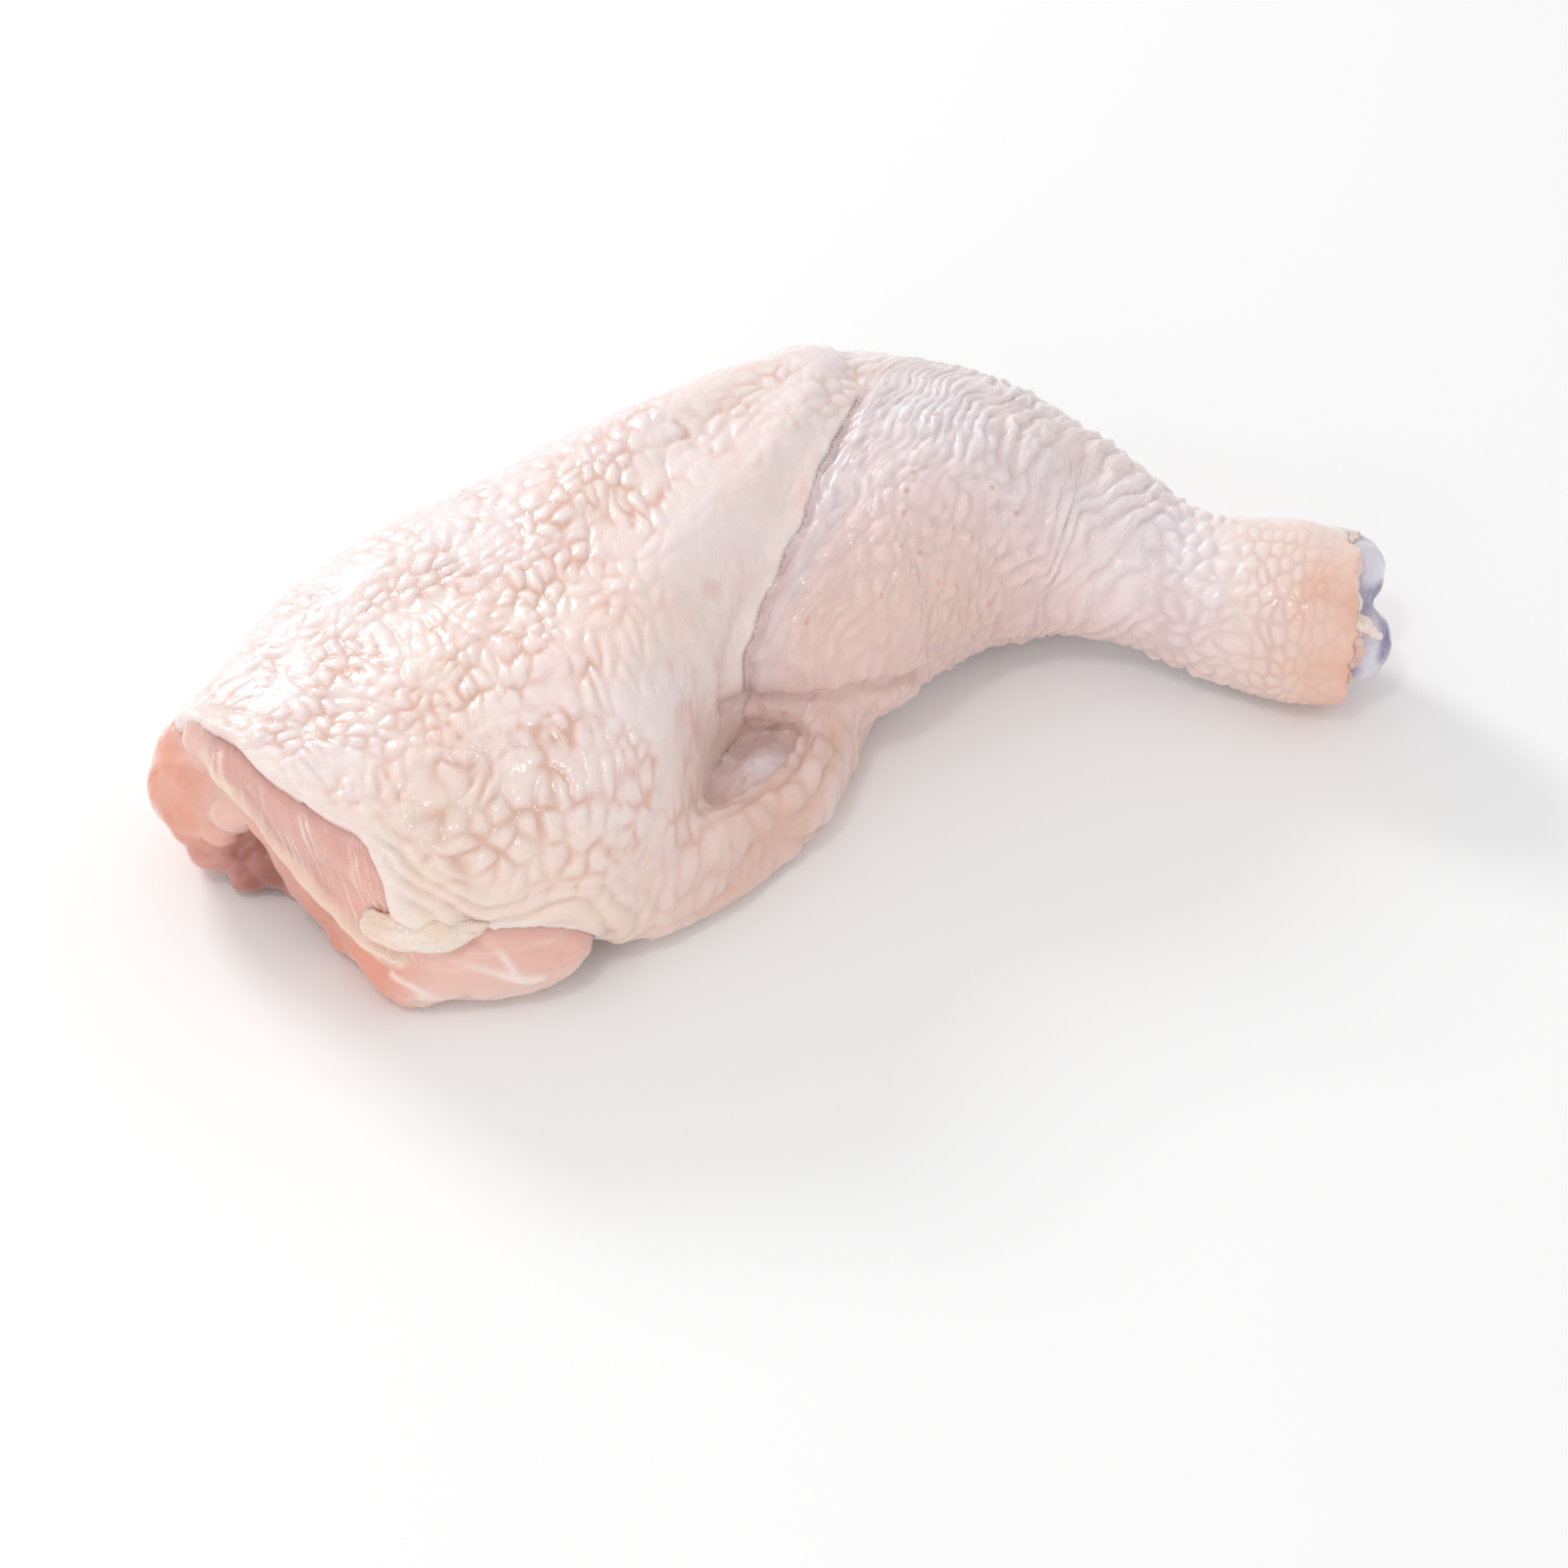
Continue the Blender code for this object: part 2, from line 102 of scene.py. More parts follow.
# The crease where the thigh's skin folds over the drumstick, seen from above, from the crook to the knee
CREASE = [
    (-36, -48), (-27, -30), (-19, -14), (-13, 1), (-10.5, 9), (-8.5, 14), (-5.5, 21), (-0.5, 30.5), (4, 39.5),
    (7, 49.5), (10.4, 58), (14, 70), (24, 96),
]
# The drumstick's lower outline, where it hangs over the web, with painted shadow along it
OVERHANG = [(-8, 16, 20), (-4, 19, 18.5), (3, 18, 18.5), (9, 18.5, 19), (15, 21, 19), (22, 26, 17)]
# The fold along the free edge of the web
WEB_EDGE = [(-27, -16), (-15, -9), (-5, -1), (3.5, 8), (9, 27), (13.5, 40)]
# The skin's lower front edge, above the fat and the pink meat
LOW_EDGE = [(-60, -25, 26), (-56, -28, 21), (-50, -29, 18), (-42, -28, 16), (-35, -26, 14), (-27, -23.5, 11)]
# The cut at the hip end
HIP_CUT = [
    (-118, 31), (-102, 16), (-90, 5), (-81, -3.5), (-72.5, -12), (-65.5, -18), (-58.5, -24), (-50, -40),
]
# The bottom of the pocket in the crook: place, reach, and how far slack skin raises it
POCKET = ((-3, 12, 8), (9, 8, 8))
POCKET_RISE = 4.0
# Height of the rim at the hip cut, and how far the shank's end is cut back on its far side
RIM_HEIGHT = 0.55
SHANK_CUT_BACK = 4.5


def colour(red, green, blue):
    """A colour as it looks, turned into the linear one that a shader takes."""
    value = np.array([red, green, blue]) / 255
    return np.where(value <= 0.04045, value / 12.92, ((value + 0.055) / 1.055) ** 2.4)


SKIN_PALE = colour(242, 227, 224)
SKIN_VALLEY = colour(218, 166, 142)
SKIN_WARM = colour(242, 221, 210)
SKIN_PINK = colour(241, 213, 208)
SKIN_LILAC = colour(248, 240, 244)
SKIN_MAUVE = colour(213, 184, 183)
SKIN_POCKET = colour(240, 228, 230)
SKIN_SHADE = colour(226, 212, 216)
SKIN_FAT = colour(247, 228, 211)
SKIN_TAN = colour(230, 194, 177)
SKIN_PEACH = colour(241, 206, 190)
SKIN_RIM_AND_HIGHLIGHT = colour(244, 228, 222)
SKIN_ORANGE = colour(234, 166, 134)
SKIN_LINE = colour(212, 164, 156)
PORE_PINK = colour(222, 164, 148)

NOISE_CELLS = 32
# Shifts places so that the cells' numbers stay above zero, and widens the noise's range
NOISE_SHIFT = 64
NOISE_GAIN = 1.5
CELL_TABLE = 64
# Farther than the middle of any cell
CELL_FAR = 9.0
# Mean heights of the three kinds of relief, which are taken off so that relief goes up and down
PUFF_MEAN = 0.6
FOLD_MEAN = 0.6
RIPPLE_MEAN = 0.5


def smoothstep(low, high, value):
    """Rises smoothly from 0 at low to 1 at high, also where low is the larger number."""
    t = np.clip((value - low) / (high - low), 0, 1)
    return t * t * (3 - 2 * t)


def bell(value, width):
    """1 at zero, falling to 0 on both sides within about twice the width."""
    return np.exp(-((value / width) ** 2))


def mix(a, b, weight):
    """Colours or numbers a turned towards b by a weight at each point."""
    a, b = np.asarray(a, float), np.asarray(b, float)
    if a.shape == (3,):
        a = a[None, :]
    if b.shape == (3,):
        b = b[None, :]
    if a.ndim == 2 or b.ndim == 2:
        weight = np.clip(weight, 0, 1)[:, None]
    return a + (b - a) * weight


def noise(points, size, seed):
    """Smooth noise, mostly from -0.6 to 0.6, that changes over a length of size."""
    table = np.random.default_rng(seed).normal(size=(NOISE_CELLS,) * 3 + (3,))
    table /= np.linalg.norm(table, axis=-1, keepdims=True)
    place = np.asarray(points) / size + NOISE_SHIFT
    cell = np.floor(place).astype(int)
    part = place - cell
    fade = part**3 * (part * (part * 6 - 15) + 10)
    total = np.zeros(len(place))
    for corner in itertools.product((0, 1), repeat=3):
        weight = np.prod(np.where(corner, fade, 1 - fade), axis=1)
        i, j, k = ((cell + corner) % NOISE_CELLS).T
        total += weight * ((part - corner) * table[i, j, k]).sum(axis=1)
    return total * NOISE_GAIN


def rough_noise(points, size, seed, octaves=3):
    """Noise with finer noise on it."""
    total = np.zeros(len(points))
    strength = 1.0
    for octave in range(octaves):
        total += strength * noise(points, size / 2**octave, seed + octave)
        strength *= 0.5
    return total


def folds(across, along, seed, sharpness=5.0):
    """Rounded folds with sharp valleys, 0 in a valley and up to 1. A fold is about one unit wide."""
    value = noise(np.column_stack([across, along, 0 * along + 0.37 * seed]), 1.0, seed)
    return 1 - np.exp(-sharpness * np.abs(value))


def cells(across, along, seed, scatter=0.9):
    """Irregular cells, one to each unit square.

    Returns the distances from the border and from the middle, how far along the cell a point is,
    and a number for each cell.
    """
    table = np.random.default_rng(seed).random((CELL_TABLE, CELL_TABLE, 3))
    column, row = np.floor(across).astype(int), np.floor(along).astype(int)
    nearest = np.full(len(across), CELL_FAR)
    second = nearest.copy()
    lean = np.zeros(len(across))
    which = np.zeros(len(across))
    for i, j in itertools.product((-1, 0, 1), repeat=2):
        found = table[(column + i) % CELL_TABLE, (row + j) % CELL_TABLE]
        du = column + i + 0.5 + scatter * (found[:, 0] - 0.5) - across
        dv = row + j + 0.5 + scatter * (found[:, 1] - 0.5) - along
        distance = np.hypot(du, dv)
        closer = distance < nearest
        second = np.where(closer, nearest, np.minimum(second, distance))
        which = np.where(closer, found[:, 2], which)
        lean = np.where(closer, -dv, lean)
        nearest = np.where(closer, distance, nearest)
    return second - nearest, nearest, lean, which


def puffs(across, along, seed, overlap=0.3, merge=0.0, valley=0.40, scatter=0.9):
    """Pillows that each lean over the next one along. merge above 0 lets neighbours run together.

    Returns their height, mostly from 0 to 1, and how deep in a valley between them a point is.
    """
    border, middle, lean, which = cells(across, along, seed, scatter)
    groove = bell(border, valley)
    pillow = ((0.8 + 0.5 * which) * (1 - 0.7 * middle**2) + overlap * lean) * (1 - groove)
    merge = 0.7 * np.clip(merge, 0, 1)
    return mix(pillow, 0.6, merge), groove * (1 - merge)


def ripples(across):
    """Rounded ridges side by side with sharp valleys, 0 in a valley and 1 on a ridge, one to each unit."""
    return np.abs(np.sin(math.pi * across))


def curve_points(route, count):
    """Points spread over a smooth curve through the given ones, with all their columns."""
    route = np.array(route, float)
    spans = len(route) - 1
    out = []
    for t in np.linspace(0, spans, count):
        i = min(int(t), spans - 1)
        f = t - i
        b, c = route[i], route[i + 1]
        a = route[i - 1] if i > 0 else 2 * b - c
        d = route[i + 2] if i + 2 < len(route) else 2 * c - b
        bend = (2 * a - 5 * b + 4 * c - d) * f**2 + (3 * b - a - 3 * c + d) * f**3
        out.append(0.5 * (2 * b + (c - a) * f + bend))
    return np.array(out)


def nearest_on(points, line):
    """Index of the nearest of the line's points, and the distance to it."""
    best = np.full(len(points), np.inf)
    index = np.zeros(len(points), int)
    for k, place in enumerate(line):
        square = ((points - place) ** 2).sum(axis=1)
        closer = square < best
        best[closer] = square[closer]
        index[closer] = k
    return index, np.sqrt(best)


def directions(line):
    """The way on at each of a line's points, as unit vectors."""
    ahead = np.gradient(line, axis=0)
    return ahead / np.linalg.norm(ahead, axis=1)[:, None]


def lengths_to(line):
    """How far along a line each of its points is."""
    return np.concatenate([[0], np.cumsum(np.linalg.norm(np.diff(line, axis=0), axis=1))])


def beside(points, route, count=120):
    """Signed distance from a route seen from above, above zero to its right, and the way along it."""
    line = curve_points(route, count)
    flat = points[:, :2]
    index, _ = nearest_on(flat, line)
    ahead = directions(line)[index]
    away = flat - line[index]
    along = (away * ahead).sum(axis=1)
    across = ahead[:, 1] * away[:, 0] - ahead[:, 0] * away[:, 1]
    return across, lengths_to(line)[index] + along


def near_line(points, route, width, count=60):
    """1 on a route through space, falling to 0 within about twice its width."""
    _, distance = nearest_on(points, curve_points(route, count))
    return bell(distance, width)


def near_place(points, centre, reach):
    """1 at a place, falling to 0 beyond its reach. reach is one number or one for each axis."""
    away = (points - np.array(centre, float)) / np.array(reach, float)
    return np.exp(-(away**2).sum(axis=1))


def add_object(name, data):
    obj = bpy.data.objects.new(name, data)
    bpy.context.scene.collection.objects.link(obj)
    return obj


def apply_modifiers(obj):
    """Makes what the modifiers give the object's own mesh."""
    graph = bpy.context.evaluated_depsgraph_get()
    made = bpy.data.meshes.new_from_object(obj.evaluated_get(graph), depsgraph=graph)
    obj.modifiers.clear()
    obj.data = made


def leg_points(mesh):
    """The mesh's points in the leg's own millimetres."""
    flat = np.empty(len(mesh.vertices) * 3, np.float32)
    mesh.vertices.foreach_get("co", flat)
    return flat.reshape(-1, 3).astype(float) / MM + LEG_ORIGIN


def set_leg_points(mesh, points):
    """Puts the mesh's points at places in the leg's own millimetres."""
    mesh.vertices.foreach_set("co", ((points - LEG_ORIGIN) * MM).astype(np.float32).ravel())
    mesh.update()


def normals_of(mesh):
    flat = np.empty(len(mesh.vertices) * 3, np.float32)
    mesh.vertex_normals.foreach_get("vector", flat)
    return flat.reshape(-1, 3).astype(float)


# Tubes: sides, loops for each point of the route, and a direction that no route runs in
TUBE_SIDES = 10
TUBE_LOOPS = 6
TUBE_UP = Vector((0.3, 0.5, 0.8))


def lump_into(bm, centre, radii, turn):
    """Adds an ellipsoid, given in the leg's millimetres."""
    size = Matrix.Diagonal(Vector(radii) * MM).to_4x4()
    spin = Euler([math.radians(a) for a in turn]).to_matrix().to_4x4()
    place = Matrix.Translation(Vector((np.array(centre) - LEG_ORIGIN) * MM))
    bmesh.ops.create_icosphere(bm, subdivisions=3, radius=1.0, matrix=place @ spin @ size)


def tube_into(bm, route, radii):
    """Adds a closed tube through the route's points. radii are spread along it."""
    line = curve_points(route, TUBE_LOOPS * len(route))
    widths = np.interp(np.linspace(0, 1, len(line)), np.linspace(0, 1, len(radii)), radii)
    loops = []
    for k, place in enumerate(line):
        ahead = Vector(line[min(k + 1, len(line) - 1)] - line[max(k - 1, 0)]).normalized()
        side = ahead.cross(TUBE_UP).normalized()
        up = ahead.cross(side)
        loop = []
        for s in range(TUBE_SIDES):
            angle = 2 * math.pi * s / TUBE_SIDES
            out = (side * math.cos(angle) + up * math.sin(angle)) * float(widths[k])
            loop.append(bm.verts.new((Vector(place - LEG_ORIGIN) + out) * MM))
        loops.append(loop)
    for low, high in zip(loops, loops[1:]):
        for i in range(TUBE_SIDES):
            j = (i + 1) % TUBE_SIDES
            bm.faces.new((low[i], low[j], high[j], high[i]))
    bm.faces.new(loops[0][::-1])
    bm.faces.new(loops[-1])


def dense_body(name, bm, voxel, smooth_steps):
    """One closed surface of small even faces round everything in bm."""
    bmesh.ops.remove_doubles(bm, verts=bm.verts, dist=1e-6)
    bmesh.ops.recalc_face_normals(bm, faces=bm.faces)
    mesh = bpy.data.meshes.new(name)
    bm.to_mesh(mesh)
    bm.free()
    obj = add_object(name, mesh)
    remesh = obj.modifiers.new("Remesh", "REMESH")
    remesh.mode = "VOXEL"
    remesh.voxel_size = voxel * MM
    soften(obj, smooth_steps)
    return obj


def soften(obj, steps):
    """Evens out the surface. More steps take away larger forms."""
    smooth = obj.modifiers.new("Smooth", "SMOOTH")
    smooth.factor = 0.5
    smooth.iterations = steps
    apply_modifiers(obj)


def body_of_node(node):
    """A copy of a CAD node's mesh to work on. The node itself stays as it is."""
    bm = bmesh.new()
    bm.from_mesh(node.data)
    return bm


def tree_of(node):
    """A CAD node's surface, to measure distances from."""
    points = leg_points(node.data)
    return BVHTree.FromPolygons(points.tolist(), [list(p.vertices) for p in node.data.polygons])


def distance_to(tree, points, most):
    """Distance of each point from a surface, no more than most."""
    out = np.full(len(points), float(most))
    for k, place in enumerate(points.tolist()):
        found = tree.find_nearest(place, most)
        if found[0] is not None:
            out[k] = found[3]
    return out


# What Blender calls the value of each kind of attribute
FIELD = {"FLOAT": "value", "FLOAT_VECTOR": "vector", "FLOAT_COLOR": "color"}


def store(mesh, name, kind, values):
    """Stores a number, a vector or a colour at every point."""
    data = mesh.attributes.new(name, kind, "POINT").data
    data.foreach_set(FIELD[kind], values.astype(np.float32).ravel())


def stored(mesh, name):
    """A number or a vector that was stored at every point."""
    attribute = mesh.attributes[name]
    is_vector = attribute.data_type == "FLOAT_VECTOR"
    flat = np.empty(len(mesh.vertices) * (3 if is_vector else 1), np.float32)
    attribute.data.foreach_get(FIELD[attribute.data_type], flat)
    return flat.astype(float).reshape(-1, 3) if is_vector else flat.astype(float)


def thin_hidden(obj, hidden):
    """Takes most of the hidden faces away."""
    corners = np.array([tuple(p.vertices)[:3] for p in obj.data.polygons])
    hidden_share = (hidden[corners] > 0.5).all(axis=1).mean()
    group = obj.vertex_groups.new(name="hidden")
    group.add(np.nonzero(hidden > 0.5)[0].tolist(), 1.0, "REPLACE")
    thin = obj.modifiers.new("ThinHidden", "DECIMATE")
    thin.vertex_group = group.name
    thin.ratio = 1 - hidden_share * (1 - HIDDEN_SHARE)
    apply_modifiers(obj)
    obj.vertex_groups.clear()


def thin_flat(obj, triangles):
    """Takes the flattest faces away until that many triangles are left."""
    now = sum(len(p.vertices) - 2 for p in obj.data.polygons)
    if now > triangles:
        thin = obj.modifiers.new("ThinFlat", "DECIMATE")
        thin.ratio = triangles / now
        apply_modifiers(obj)


def split_in_two(obj, names, side):
    """Two objects, the faces where side is below zero and the rest, shaded as one surface."""
    whole = obj.data
    store(whole, "whole_normal", "FLOAT_VECTOR", normals_of(whole))
    on_first = [side[list(p.vertices)].mean() < 0 for p in whole.polygons]
    parts = []
    for name, wanted in zip(names, (True, False)):
        bm = bmesh.new()
        bm.from_mesh(whole)
        others = [face for face, first in zip(bm.faces, on_first) if first != wanted]
        bmesh.ops.delete(bm, geom=others, context="FACES")
        mesh = bpy.data.meshes.new(name)
        bm.to_mesh(mesh)
        bm.free()
        mesh.normals_split_custom_set_from_vertices(stored(mesh, "whole_normal").tolist())
        parts.append(add_object(name, mesh))
    bpy.data.objects.remove(obj)
    return parts


def paint(obj, tint, wet):
    """Stores a colour and a wetness at every point."""
    mesh = obj.data
    if "grained" not in mesh.attributes:
        store(mesh, "grained", "FLOAT", np.ones(len(mesh.vertices)))
    rgba = np.ones((len(mesh.vertices), 4))
    rgba[:, :3] = np.clip(tint, 0, 1)
    store(mesh, "tint", "FLOAT_COLOR", rgba)
    store(mesh, "wet", "FLOAT", np.clip(wet, 0, 1))
    mesh.polygons.foreach_set("use_smooth", np.ones(len(mesh.polygons), bool))


def on_thigh(points):
    """How far along the thigh, and how far round it from the top, above zero towards the front."""
    start, end = np.array(THIGH_START), np.array(THIGH_END)
    ahead = (end - start) / np.linalg.norm(end - start)
    side = np.array([ahead[1], -ahead[0]])
    away = points[:, :2] - start
    angle = np.arctan2(away @ side, points[:, 2] - THIGH_AXIS_HEIGHT)
    return away @ ahead, angle * THIGH_RADIUS


def on_limb(points):
    """The same on the drumstick, and how far from its axis a point is, as a share of its radius."""
    route = curve_points(LIMB_AXIS, 120)
    line = route[:, :3]
    index, distance = nearest_on(points, line)
    radius = route[index, 3]
    ahead = directions(line)
    side = np.cross(ahead, (0, 0, 1))
    side /= np.linalg.norm(side, axis=1)[:, None]
    up = np.cross(side, ahead)
    away = points - line[index]
    angle = np.arctan2((away * side[index]).sum(axis=1), (away * up[index]).sum(axis=1))
    along = lengths_to(line)[index] + (away * ahead[index]).sum(axis=1)
    return along, angle * radius, distance / radius


def thigh_relief(points, crease):
    """Height of the thigh's skin in millimetres, and the other fields that its colour needs."""
    s, a = on_thigh(points)
    x, y, z = points.T
    warp_s = s + 2.2 * rough_noise(points, 14, 11, 2) + 0.3 * noise(points, 3.5, 14)
    warp_a = a + 2.2 * rough_noise(points, 14, 21, 2) + 0.3 * noise(points, 3.5, 24)
    merge = 0.1 + 1.4 * noise(points, 7, 31)

    # Puffs lean towards the cut at the hip end and the other way near the knee
    lean = np.interp(x, [-80, -50, -20], [-0.28, 0.08, 0.36])
    slant = warp_s + lean * warp_a
    layers = [
        puffs(slant / 3.2, warp_a / 3.4, 41, 0.45, merge, 0.33),
        puffs(slant / 2.5, warp_a / 4.6, 42, 0.30, merge, 0.40),
        puffs(warp_s / 4.0, (warp_a + 0.2 * warp_s) / 2.4, 43, 0.55, merge, 0.38),
        puffs(slant / 3.3, warp_a / 2.5, 44, 0.50, merge + 0.2, 0.37),
    ]
    # Where each layer shows: round puffs in the middle, long ones at the hip end and the top, wide
    # ones low on the front, small ones at the knee and in patches
    hip_zone = 1 - smoothstep(-70, -50, x)
    high_zone = smoothstep(14, 30, y + 0.2 * x) * (1 - smoothstep(-24, -8, x))
    low_zone = smoothstep(24, 36, a) * (1 - smoothstep(-28, -10, x + 0.3 * z)) * (1 - 0.5 * hip_zone)
    knee_zone = smoothstep(50, 62, y) * smoothstep(-26, -8, x)
    small_patch = smoothstep(0.0, 0.35, noise(points, 12, 33)) * 0.8
    small_zone = np.maximum(knee_zone, small_patch * (1 - low_zone))
    long_zone = np.clip(hip_zone + high_zone, 0, 1) * (1 - low_zone) * (1 - small_zone)
    round_zone = np.clip(1 - long_zone - low_zone - small_zone, 0, 1)
    # The skin is tight beside the crease
    smooth_zone = (
        smoothstep(-21, -9, crease) * smoothstep(-36, -16, x) * (1 - knee_zone) * smoothstep(-6, 4, y)
    )
    zones = [round_zone, long_zone, low_zone, small_zone]
    depths = [0.72, 0.52, 0.72, 0.46]
    quiet = (1 - 0.55 * smooth_zone) * (0.9 + 0.5 * noise(points, 17, 51))
    height = 0
    groove = 0
    for zone, depth, (dome, valley) in zip(zones, depths, layers):
        height = height + zone * depth * (dome - PUFF_MEAN)
        groove = groove + zone * valley
    height = height * quiet
    groove = groove * (1 - 0.7 * smooth_zone)

    # A few long deep wrinkles that wander round the thigh's front
    long_line = bell(noise(np.column_stack([slant / 10, warp_a / 26, 0 * s]), 1.0, 52), 0.035)
    long_line *= (
        (1 - low_zone) * (1 - 0.8 * knee_zone) * (1 - smoothstep(-24, -14, crease)) * smoothstep(-12, 4, a)
    )
    height -= 0.30 * long_line
    height += 0.5 * noise(points, 15, 71)
    return SimpleNamespace(
        height=height,
        groove=np.maximum(groove, 0.7 * long_line),
        low_zone=low_zone,
        knee_zone=knee_zone,
        smooth_zone=smooth_zone,
        along=slant,
        round=warp_a,
    )


def limb_relief(points, crease):
    """The same for the drumstick: wrinkles, follicles, and bumps and scales above the knuckle."""
    s, a, share = on_limb(points)
    x = points[:, 0]
    warp = 1.8 * rough_noise(points, 12, 111, 2) + 0.25 * noise(points, 3, 114)

    # Wrinkles follow the crease near it and run across the limb further out
    flow = mix(crease, s - 30, smoothstep(20, 46, x)) + warp
    shift = 0.9 * noise(points, 11, 151) + 0.2 * noise(points, 4, 152)
    fine = ripples((flow + 0.16 * a) / 1.65 + shift) * np.clip(0.7 + 1.2 * noise(points, 7, 153), 0, 1)
    broad = folds((flow + 0.22 * a) / 4.2, a / 15, 142)
    deep = ripples((flow + 0.30 * a) / 3.2 + 1.4 * shift) * np.clip(0.7 + 1.0 * noise(points, 8, 154), 0, 1)
    fine_zone = (1 - smoothstep(34, 50, x)) * (1 - 0.5 * smoothstep(2, 18, a))
    broad_zone = 1 - smoothstep(50, 64, x)
    deep_zone = smoothstep(26, 38, x) * (1 - smoothstep(58, 70, x))
    # Follicles: low domes in rows, some with a pore, on soft lumps
    _, middle, _, which = cells((s + warp + 0.5 * a) / 5.0, (a + warp) / 4.7, 145, 0.5)
    dome = smoothstep(0.46, 0.06, middle) * (0.35 + 0.65 * which)
    lumps, lump_groove = puffs((s + warp + 0.4 * a) / 3.2, (a + warp) / 4.0, 148, 0.2, 0.2, 0.45)
    dome_zone = smoothstep(-10, 6, a) * (1 - smoothstep(36, 46, x))
    pore = dome_zone * smoothstep(0.13, 0.04, middle) * (which > 0.7)
    bumps, bump_groove = puffs((s + warp) / 3.2, (a + warp) / 3.6, 146, 0.2)
    bump_zone = smoothstep(52, 62, x) * (1 - smoothstep(68, 76, x))
    # Scales, longer round the limb than along it
    scales, scale_groove = puffs((s + 0.4 * warp) / 2.0, (a + 0.6 * warp) / 3.4, 147, 0.0, 0.0, 0.26, 0.8)
    scale_zone = smoothstep(69, 76, x) * smoothstep(-12, 2, a) * np.clip(1.3 - 0.06 * (x - 70), 0.3, 1)

    wrinkles = (
        0.65 * fine_zone * (fine - RIPPLE_MEAN)
        + 0.42 * broad_zone * (broad - FOLD_MEAN)
        + 1.00 * deep_zone * (deep - RIPPLE_MEAN)
    )
    height = (
        wrinkles * (1 - 0.45 * smoothstep(18, 32, a))
        + 0.50 * dome_zone * dome
        + 0.48 * dome_zone * (lumps - PUFF_MEAN)
        - 0.22 * pore
        + 0.85 * bump_zone * (bumps - PUFF_MEAN)
        + 0.30 * scale_zone * (scales - PUFF_MEAN)
        + 0.50 * noise(points, 12, 181)
    )
    valley = (
        0.7 * fine_zone * (1 - fine) ** 2
        + 0.4 * broad_zone * (1 - broad) ** 2
        + 0.6 * dome_zone * lump_groove**2
        + 0.7 * deep_zone * (1 - deep) ** 2
        + 0.4 * bump_zone * bump_groove
    )
    return SimpleNamespace(
        height=height,
        valley=np.clip(valley, 0, 1),
        pore=pore,
        scale_line=scale_zone * scale_groove,
        along=flow,
        round=a,
        share=share,
    )


def web_relief(points):
    """The same for the web in the crook: soft ridges along its free edge."""
    edge, edge_along = beside(points, WEB_EDGE)
    bent = edge + 2.2 * noise(points, 10, 201) + 0.12 * edge_along
    ridge = folds(bent / 5.5, edge_along / 30, 202, 4.0)
    fine_ridge = folds(bent / 2.6, edge_along / 12, 203)
    small_puffs, groove = puffs(bent / 3.4, edge_along / 4.6, 204, 0.3)
    height = (
        1.5 * (ridge - FOLD_MEAN)
        + 0.35 * (fine_ridge - FOLD_MEAN)
        + 0.5 * (small_puffs - PUFF_MEAN)
        + 0.4 * noise(points, 7, 205)
    )
    return SimpleNamespace(height=height, ridge=ridge, groove=groove)


def fold_low_edge(points, thigh):
    """Puts long soft folds along the skin's lower front edge into the thigh's fields."""
    _, distance = nearest_on(points, curve_points(LOW_EDGE, 80))
    fold = ripples(distance / 3.8 + 0.1 + 1.6 * noise(points / (1.6, 1, 1), 8, 207))
    height = 1.5 * (fold - RIPPLE_MEAN) + 0.6 * noise(points, 4, 208)
    thigh.fat_zone = bell(distance, 9)
    thigh.height = mix(thigh.height, height, 0.85 * thigh.fat_zone)
    thigh.groove = mix(thigh.groove, (1 - fold) ** 2, 0.85 * thigh.fat_zone)


def thigh_colour(points, thigh, tone):
    """The thigh's colour. tone is slow noise that it shares with the drumstick's."""
    fleck = 2 * noise(points, 5, 311)
    tint = mix(SKIN_PALE, SKIN_WARM, 0.25 + 0.6 * tone)
    tint = mix(tint, SKIN_PINK, np.clip(1.6 * noise(points, 13, 302), 0, 1) * 0.5)
    tint = mix(tint, SKIN_WARM, thigh.low_zone * 0.5)
    tint = mix(tint, SKIN_TAN, smoothstep(34, 56, thigh.round) * 0.3)
    # Painted light: paler on the thigh's far side, where the light falls, with fainter valleys there
    behind = smoothstep(8, -20, thigh.round)
    tint = mix(tint, SKIN_LILAC, behind * 0.5)
    valley = np.clip(thigh.groove**2.5 * (1.0 + 0.6 * fleck), 0, 1)
    tint = mix(tint, SKIN_VALLEY, valley * (0.70 - 0.38 * behind))
    tint = mix(tint, SKIN_FAT, thigh.fat_zone * (0.45 + 0.5 * fleck))
    streak = smoothstep(0.5, 0.9, noise(points / (2.5, 1, 1), 3, 322))
    tint = mix(tint, SKIN_ORANGE, thigh.fat_zone * streak * 0.5)
    blotch = smoothstep(0.25, 0.6, noise(points, 6, 321)) * thigh.smooth_zone
    return mix(tint, PORE_PINK, blotch * 0.35)


